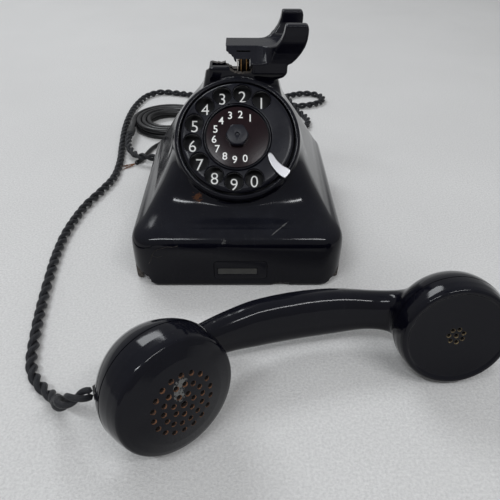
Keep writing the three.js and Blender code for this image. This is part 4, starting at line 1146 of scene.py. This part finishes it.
# ---- cradle -----------------------------------------------------------------------------------
def cradle_fork():
    bar, tip, under, gap, p = FORK["bar"], FORK["tip"], FORK["under"], FORK["gap"], FORK["prong"]
    front = [(-18, bar), (20.5, bar), (24.4, 149.3), (27.8, 151.8), (30.6, 155.6), (32.4, 160.2),
             (33.2, 164.4), (33.4, tip - 0.8), (34.2, tip), (47.4, tip), (48.9, tip - 0.8), (49.4, 163),
             (49.1, 156.8), (47.7, 150.8), (45.4, 145.8), (42, 141.2), (38.6, 138.2), (36.4, under),
             (9.4, under), (9.4, 139.6), (3, 138.4), (-18, 138.4)]
    f0, f1 = FORK["mid"] - gap / 2, FORK["mid"] + gap / 2
    side = [(-8.3, under), (f1 - 0.6, under), (f1 + 2, 144), (f1 + p - 1, 154), (f1 + p, 160),
            (f1 + p, tip - 1), (f1 + p - 1, tip), (f1 + 1, tip), (f1, tip - 1), (f1 - 0.6, 158),
            (25.6, 150.4), (24, bar + 0.3), (22.4, bar), (1, bar), (-0.8, bar + 0.3), (-2.6, 150.4),
            (f0 + 0.6, 158), (f0, tip - 1), (f0 - 1, tip), (f0 - p + 1, tip), (f0 - p, tip - 1),
            (f0 - p, 160), (f0 - p + 1, 154), (-9.8, 146), (-8.9, 141.5)]
    body = prism_xz("body", front, -30, 50)
    combined(body, prism_yz("side", side, -60, 60), "INTERSECT")
    # along X, how far the bar's front face stands at its top and at its foot, then its back face
    fore = [(-30, 2.2, -8.9), (14, 2.2, -8.9), (18, 1, -8.9), (21, -1.4, -8.9), (24, -5.2, -9.4),
            (26.5, -9.8, -11.4), (28.6, -15, -15.8), (29.5, -20, -20.6)]
    combined(body, loft("fore", [[(x, -24, 136), (x, low, under - 0.4), (x, high, bar + 0.2), (x, high, 172),
                                  (x, -24, 172)] for x, high, low in fore]))
    aft = [(-30, 24.1), (14, 24.1), (18, 25), (21, 27), (24, 30.5), (27, 36), (29, 41), (30, 46)]
    combined(body, loft("aft", [[(x, y, 130), (x, 50, 130), (x, 50, 172), (x, y, 172)] for x, y in aft]))
    plug = block("plug", PLUG["x0"], PLUG["x1"], SLOT["y0"] + 0.7, SLOT["y1"] - 0.7, PLUG["bottom"], under + 1)
    apron = []
    for z, x1 in ((130.4, 35), (131.4, 36.2), (under + 1, 36.4)):
        half = (x1 - 10.6) / 2
        apron.append([(x + x1 - half, y, z) for x, y, _ in round_rect(0, half, -8.4, -5.5, 1.2, 6)])
    fork = painted(fused("cradle_fork", [body, plug, loft("apron", apron)], 0.6, 7), "cradle", "broken")
    cut_all(fork, [block("hollow", -0.6, 9.45, -1.4, 14, 130, 145.6),
                   block("mouth", -0.6, 9.45, -20, 0, 130, 140.8)])
    end = [(-30, 130), (0.6, 130), (0.8, 138.5), (-2, 139.5), (-2.6, 141.7), (-7.9, 145.2), (-8.6, bar + 3),
           (-30, bar + 3)]
    end = jagged(end, 1.1, 0.2, 11, lambda x, z: x < -15 or z > 150)
    combined(fork, prism_xz("break", end, -30, 60), inside=1)
    settle(fork, "cradle", ["cradle_fork"], sharp=40)


def hook_block():
    """Black pressboard that carries the contact leaves."""
    parts = [block("hook_stack", -5, 9, 2.2, 14.2, 86, 97.7), block("post", -5, -3.4, 3.4, 9.6, 97, 104),
             block("board", 0.8, 9.25, 10.3, 11.9, 97, 140.4), block("foot", 3, 9, 12.2, 14.2, 3.5, 87)]
    for other in parts[1:]:
        combined(parts[0], other, "UNION")
    settle(parts[0], "telephone", ["hook_block"], "board")


def hook_spring():
    """A coil round the plunger, from its seat up to its collar; it keeps this length, though the real one is
    pressed shorter as the cradle goes down.
    """
    foot, head, turns, wire = PLUNGER["seat"] + CLEAR, PLUNGER["collar"] - CLEAR, 4.5, 0.6
    t = np.linspace(0, 1, 160)
    a = 2 * math.pi * turns * t
    rise = foot + wire + (head - foot - 2 * wire) * t
    line = np.stack([PLUNGER["x"] + 4.4 * np.cos(a), PLUNGER["y"] + 4.4 * np.sin(a), rise], -1)
    coil = dressed(tubes("plunger_coil", [(line, wire)], 8), "steel", ["hook_spring"])
    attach(coil, "telephone")
    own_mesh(coil)


# ---- handset ----------------------------------------------------------------------------------
# X and Y of the middle, half thickness, half width and heading of each section of the handle
GRIP = [
    (-4, 23, 14, 19, 62), (9, 35.4, 10.6, 13.8, 46), (22, 44, 9.6, 11.8, 27), (38, 50, 10.6, 12.8, 13),
    (56, 53.4, 11.6, 14.4, 5), (76, 54.2, 12.2, 15, -2), (96, 52.8, 12, 15, -6), (114, 49.6, 11.3, 14.2, -13),
    (130, 44.4, 10.4, 13.1, -23), (142, 37.8, 10.8, 14.4, -35), (153, 29, 13.4, 20, -47),
    (163, 17.4, 17, 26, -60)]
MOUTH_CUP = [(0, -46), (10, -44.8), (18.6, -41.4), (26, -35.8), (31.2, -29), (34.3, -22.6),
             (MOUTH["r"], -17.6), (MOUTH["r"], -10)]
EAR_CUP = [(0, -42), (9.4, -41.2), (18.2, -38), (25.8, -32), (31, -24.6), (33.2, -17.6), (EAR["r"], -14),
           (EAR["r"], -7)]


def grip_ring(x, y, a, b, heading):
    """A section of the handle: round outside, squarer inside where the fingers lie."""
    tx, ty = polar(1, heading)
    ring = []
    for k in range(64):
        c, s = polar(1, 360 * k / 64)
        p = 2 if c > 0 else 2.7
        q = (abs(c) ** p + abs(s) ** p) ** (-1 / p)
        out, up = (1.12 if c > 0 else 0.86) * a * c * q, b * s * q * (1 if c < 0 else 0.97)
        ring.append((x - ty * out, y + tx * out, up))
    return ring


def cup(name, outline, place):
    curve = spline([(r, z, 0) for r, z in outline], 0.7)[:, :2]
    curve[0, 0] = 0
    return lathe(name, [*map(tuple, curve), (0, outline[-1][1])], 200, place=place)


def cup_roots(v):
    """Where the grip flows into the two cups, away from their seams."""
    weight = np.zeros(len(v))
    span = HANDSET["span"]
    for part, x0, low, high in ((MOUTH, 0, -8, 46), (EAR, span, span - 46, span + 4)):
        depth = -((v - (x0, 0, 0)) @ (turn("z", part["turn"]) @ turn("x", 90)))[:, 2]
        near = ramp_up(v[:, 0], low - 12, low + 8) * (1 - ramp_up(v[:, 0], high - 8, high + 12))
        weight = np.maximum(weight, near * ramp_up(depth, part["seam"] + 2, part["seam"] + 9))
    return weight


def handset_handle():
    skin = loft("grip", [grip_ring(*row) for row in spline(GRIP, 1.4)])
    parts = [skin, cup("mouth_cup", MOUTH_CUP, mouth), cup("ear_cup", EAR_CUP, ear)]
    handle = painted(eased(fused("handset_handle", parts, 0.8, 16), cup_roots, 160), "handset")

    def seam(part, place, x0, x1):
        """All that lies outside the cup's rim, where the cap sits."""
        z = -part["seam"] - CLEAR
        face = lathe("face", [(0, z), (60, z), (60, 40), (0, 40)], 160, place=place)
        return combined(face, block("side", x0, x1, -70, 70, -70, 70), "INTERSECT")

    mouth_in = [(0, 1), (31.5, 1), (31.5, -25), (21, -36), (0, -40)]
    ear_in = [(0, 1), (26.4, 1), (26.4, -21), (17, -30), (0, -33)]
    seat = GLAND["seat"]
    bore = lathe("bore", [(0, -60), (5.6, -60), (5.6, seat), (3.7, seat), (3.7, -20), (0, -20)], 64,
                 place=lambda v: v[:, [2, 1, 0]] * (1, -1, 1) + (0, GLAND["y"], 0))
    cut_all(handle, [seam(MOUTH, mouth, -60, 60), seam(EAR, ear, 110, 230),
                     lathe("in", mouth_in, 96, place=mouth), lathe("in", ear_in, 96, place=ear), bore])
    settle(warp(handle, lay), "handset", ["handset_handle"], sharp=40)


def perforated(node, profile, rings, depth, stain, place):
    """A screwed cap with rings of (count, ring, radius, phase) holes, each with a small countersink."""
    widest = profile.index(max(profile, key=lambda q: q[0]))
    surface = sorted(profile[:widest])
    cap = painted(lathe(node, profile, 224, 0.5), "cap", stain, "bore")
    rim, bore = 1, 2
    for inside, low in ((bore, depth), (rim, 0.5)):
        drills = []
        for count, ring, r, phase in rings:
            h = float(np.interp(ring, [q[0] for q in surface], [q[1] for q in surface]))
            wide = [(r + 0.1, h - 0.2), (r + 0.42, h + 0.1), (r + 0.5, h + 3)]
            flare = wide if inside == rim else [(r, h + 3)]
            for k in range(count):
                x, y = polar(ring, phase + 360 * k / count) if ring else (0, 0)
                drills.append(lathe("drill", [(0, h - low), (r, h - low), *flare, (0, h + 3)], 20,
                                    place=lambda v, x=x, y=y: v + (x, y, 0)))
        combined(cap, tidy(gathered("drills", drills)), inside=inside)
    settle(warp(warp(cap, place), lay), "handset", [node], sharp=40)


def caps():
    d, s, r = MOUTH["dome"], -MOUTH["seam"], MOUTH["r"]
    skin = [(0, d), (8, d - 0.25), (16, d - 1.1), (24, d - 2.8), (30, d - 4.6), (32.6, d - 5.7), (33.5, -1.9),
            (34.1, -4.2), (34.9, -8.4), (35.3, -12.6), (r, s)]
    inner = [(33, s), (32.9, -6.6), (30.6, -3.8), (20, d - 4.6), (0, d - 2.9)]
    holes = [(1, 0, 1.7, 0), (7, 5.9, 1.25, 10), (14, 11.4, 1.25, 4), (18, 16.8, 1.25, 8)]
    perforated("mouthpiece_cap", skin + inner, holes, 7, "rim_rust", mouth)
    d, s, r = -EAR["dish"], -EAR["seam"], EAR["r"]
    skin = [(0, d), (6, d + 0.1), (13, d + 0.35), (20, d + 0.8), (25, d + 1.2), (28, d + 1.5), (29, -0.25),
            (30.4, 0), (31.6, -0.8), (32.4, -2.8), (33.2, -7), (r, s)]
    inner = [(27.9, s), (27.8, -6.6), (25.4, -5.4), (12, d - 2.6), (0, d - 3)]
    perforated("earpiece_cap", skin + inner, [(1, 0, 1.2, 0), (7, 4.4, 1.1, 20)], 6, "verdigris", ear)


case_shell()
label_strip()
finger_wheel()
dial_rings()
centre_nut()
finger_stop()
digits()
cradle_fork()
hook_block()
hook_spring()
handset_handle()
caps()


# ---- pieces whose solid is already right ------------------------------------------------------
CARRIED = {
    "trim": ["label_holder"],
    "plate": ["number_plate"],
    "zinc": ["base_plate", "dial_cup", "hook_frame", "capacitor"],
    "contact": ["hook_leaf_2", "hook_leaf_3"],
    "nickel": ["hook_leaf_1"],
    "brass": ["drive_gear", "governor_worm", "pulse_leaf"],
    "gong": ["gong_left", "gong_right"],
    "rubber": ["foot_1", "foot_2", "foot_3", "foot_4", "handset_cord_grommet", "line_cord_grommet",
               "handset_gland"],
    "capsule": ["microphone_capsule", "receiver_capsule"],
    "phenolic": ["pulse_cam", "pulse_block", "terminal_block"],
    "winding": ["ringer_coil_left", "ringer_coil_right", "induction_winding"],
}


def dress_carried_nodes():
    finish_of = {node: key for key, nodes in CARRIED.items() for node in nodes}
    for name, obj in frame["nodes"].items():
        if obj.hide_render:
            continue
        painted(obj, finish_of.get(name, "steel"))
        obj.data.shade_smooth()
        obj.data.set_sharp_from_angle(angle=math.radians(35))
        weld = obj.modifiers.new("weld", "WELD")
        weld.merge_threshold = 1e-6
        bevelled(obj, 0.00012, 2, 35)


dress_carried_nodes()


# ---- floor and light --------------------------------------------------------------------------
def floor():
    """A broad flat cloth, with finer faces near the telephone."""
    n, half = 81, 3000.0
    even = np.linspace(-1, 1, n)
    axis = even * np.abs(even) * half
    x, y = np.meshgrid(axis, axis, indexing="ij")
    verts = np.stack([x, y, np.zeros_like(x)], -1).reshape(-1, 3)
    corners = [i * n + j for i in range(n - 1) for j in range(n - 1)]
    faces = [(a, a + n, a + n + 1, a + 1) for a in corners]
    obj = painted(mesh_piece("cloth_floor", verts, faces), "cloth")
    obj.data.transform(TO_FRAME)
    obj.data.shade_smooth()


def world():
    w = bpy.data.worlds.new("world")
    bpy.context.scene.world = w
    w.use_nodes = True
    tree = w.node_tree
    back = tree.nodes["Background"]
    back.inputs["Color"].default_value = (0.98, 0.99, 1.0, 1)
    path = tree.nodes.new("ShaderNodeLightPath")
    pick = tree.nodes.new("ShaderNodeMix")
    lighting, backdrop = 0.35, 0.5
    pick.inputs[2].default_value, pick.inputs[3].default_value = lighting, backdrop
    tree.links.new(path.outputs["Is Camera Ray"], pick.inputs[0])
    tree.links.new(pick.outputs[0], back.inputs["Strength"])


def flag():
    """A small dark board overhead, which the shoulder under the dial mirrors as a dark lens."""
    half = [(-125, 4), (-84, 42), (-28, 62), (42, 60), (92, 40), (128, 0)]
    outline = [(x, y, 0) for x, y in half] + [(x, -y * 0.9, 0) for x, y in half[::-1] if y]
    obj = painted(mesh_piece("flag", outline, [tuple(range(len(outline)))]), "flag")
    shoulder = Vector(at(0, -72, 50))
    place = shoulder + Vector((0.005, 0.17, 0.98))
    spin = (shoulder - place).to_track_quat("Z", "Y").to_matrix().to_4x4()
    obj.data.transform(Matrix.Translation(place) @ spin @ Matrix.Scale(MM, 4))
    obj.visible_camera = obj.visible_shadow = obj.visible_diffuse = False


# name, azimuth (0 is behind the telephone, 90 on its right), elevation, distance, size, radiance, colour
SOFTBOXES = [
    ("window", -30, 46, 1.9, (1.0, 0.42), 9.0, (0.94, 0.97, 1.0)),
    ("front_left", -150, 50, 1.7, (0.8, 0.11), 29.0, (0.94, 0.97, 1.0)),
    ("front_right", 149, 50, 1.7, (0.8, 0.11), 27.0, (0.97, 0.98, 1.0)),
]


def softbox(name, azimuth, elevation, distance, size, radiance, tint):
    """An area lamp that faces the telephone."""
    data = bpy.data.lights.new(name, "AREA")
    data.shape, data.size, data.size_y = "RECTANGLE", *size
    data.energy, data.color = math.pi * size[0] * size[1] * radiance, tint
    obj = linked(name, data)
    (x, y), z = polar(math.cos(math.radians(elevation)), 90 - azimuth), math.sin(math.radians(elevation))
    way = Vector((x, y, z))
    spin = way.to_track_quat("Z", "Y").to_matrix().to_4x4()
    obj.matrix_world = Matrix.Translation(Vector(at(0, -60, 60)) + way * distance) @ spin


floor()
flag()
for box in SOFTBOXES:
    softbox(*box)
world()
bpy.context.scene.view_settings.view_transform = "Standard"
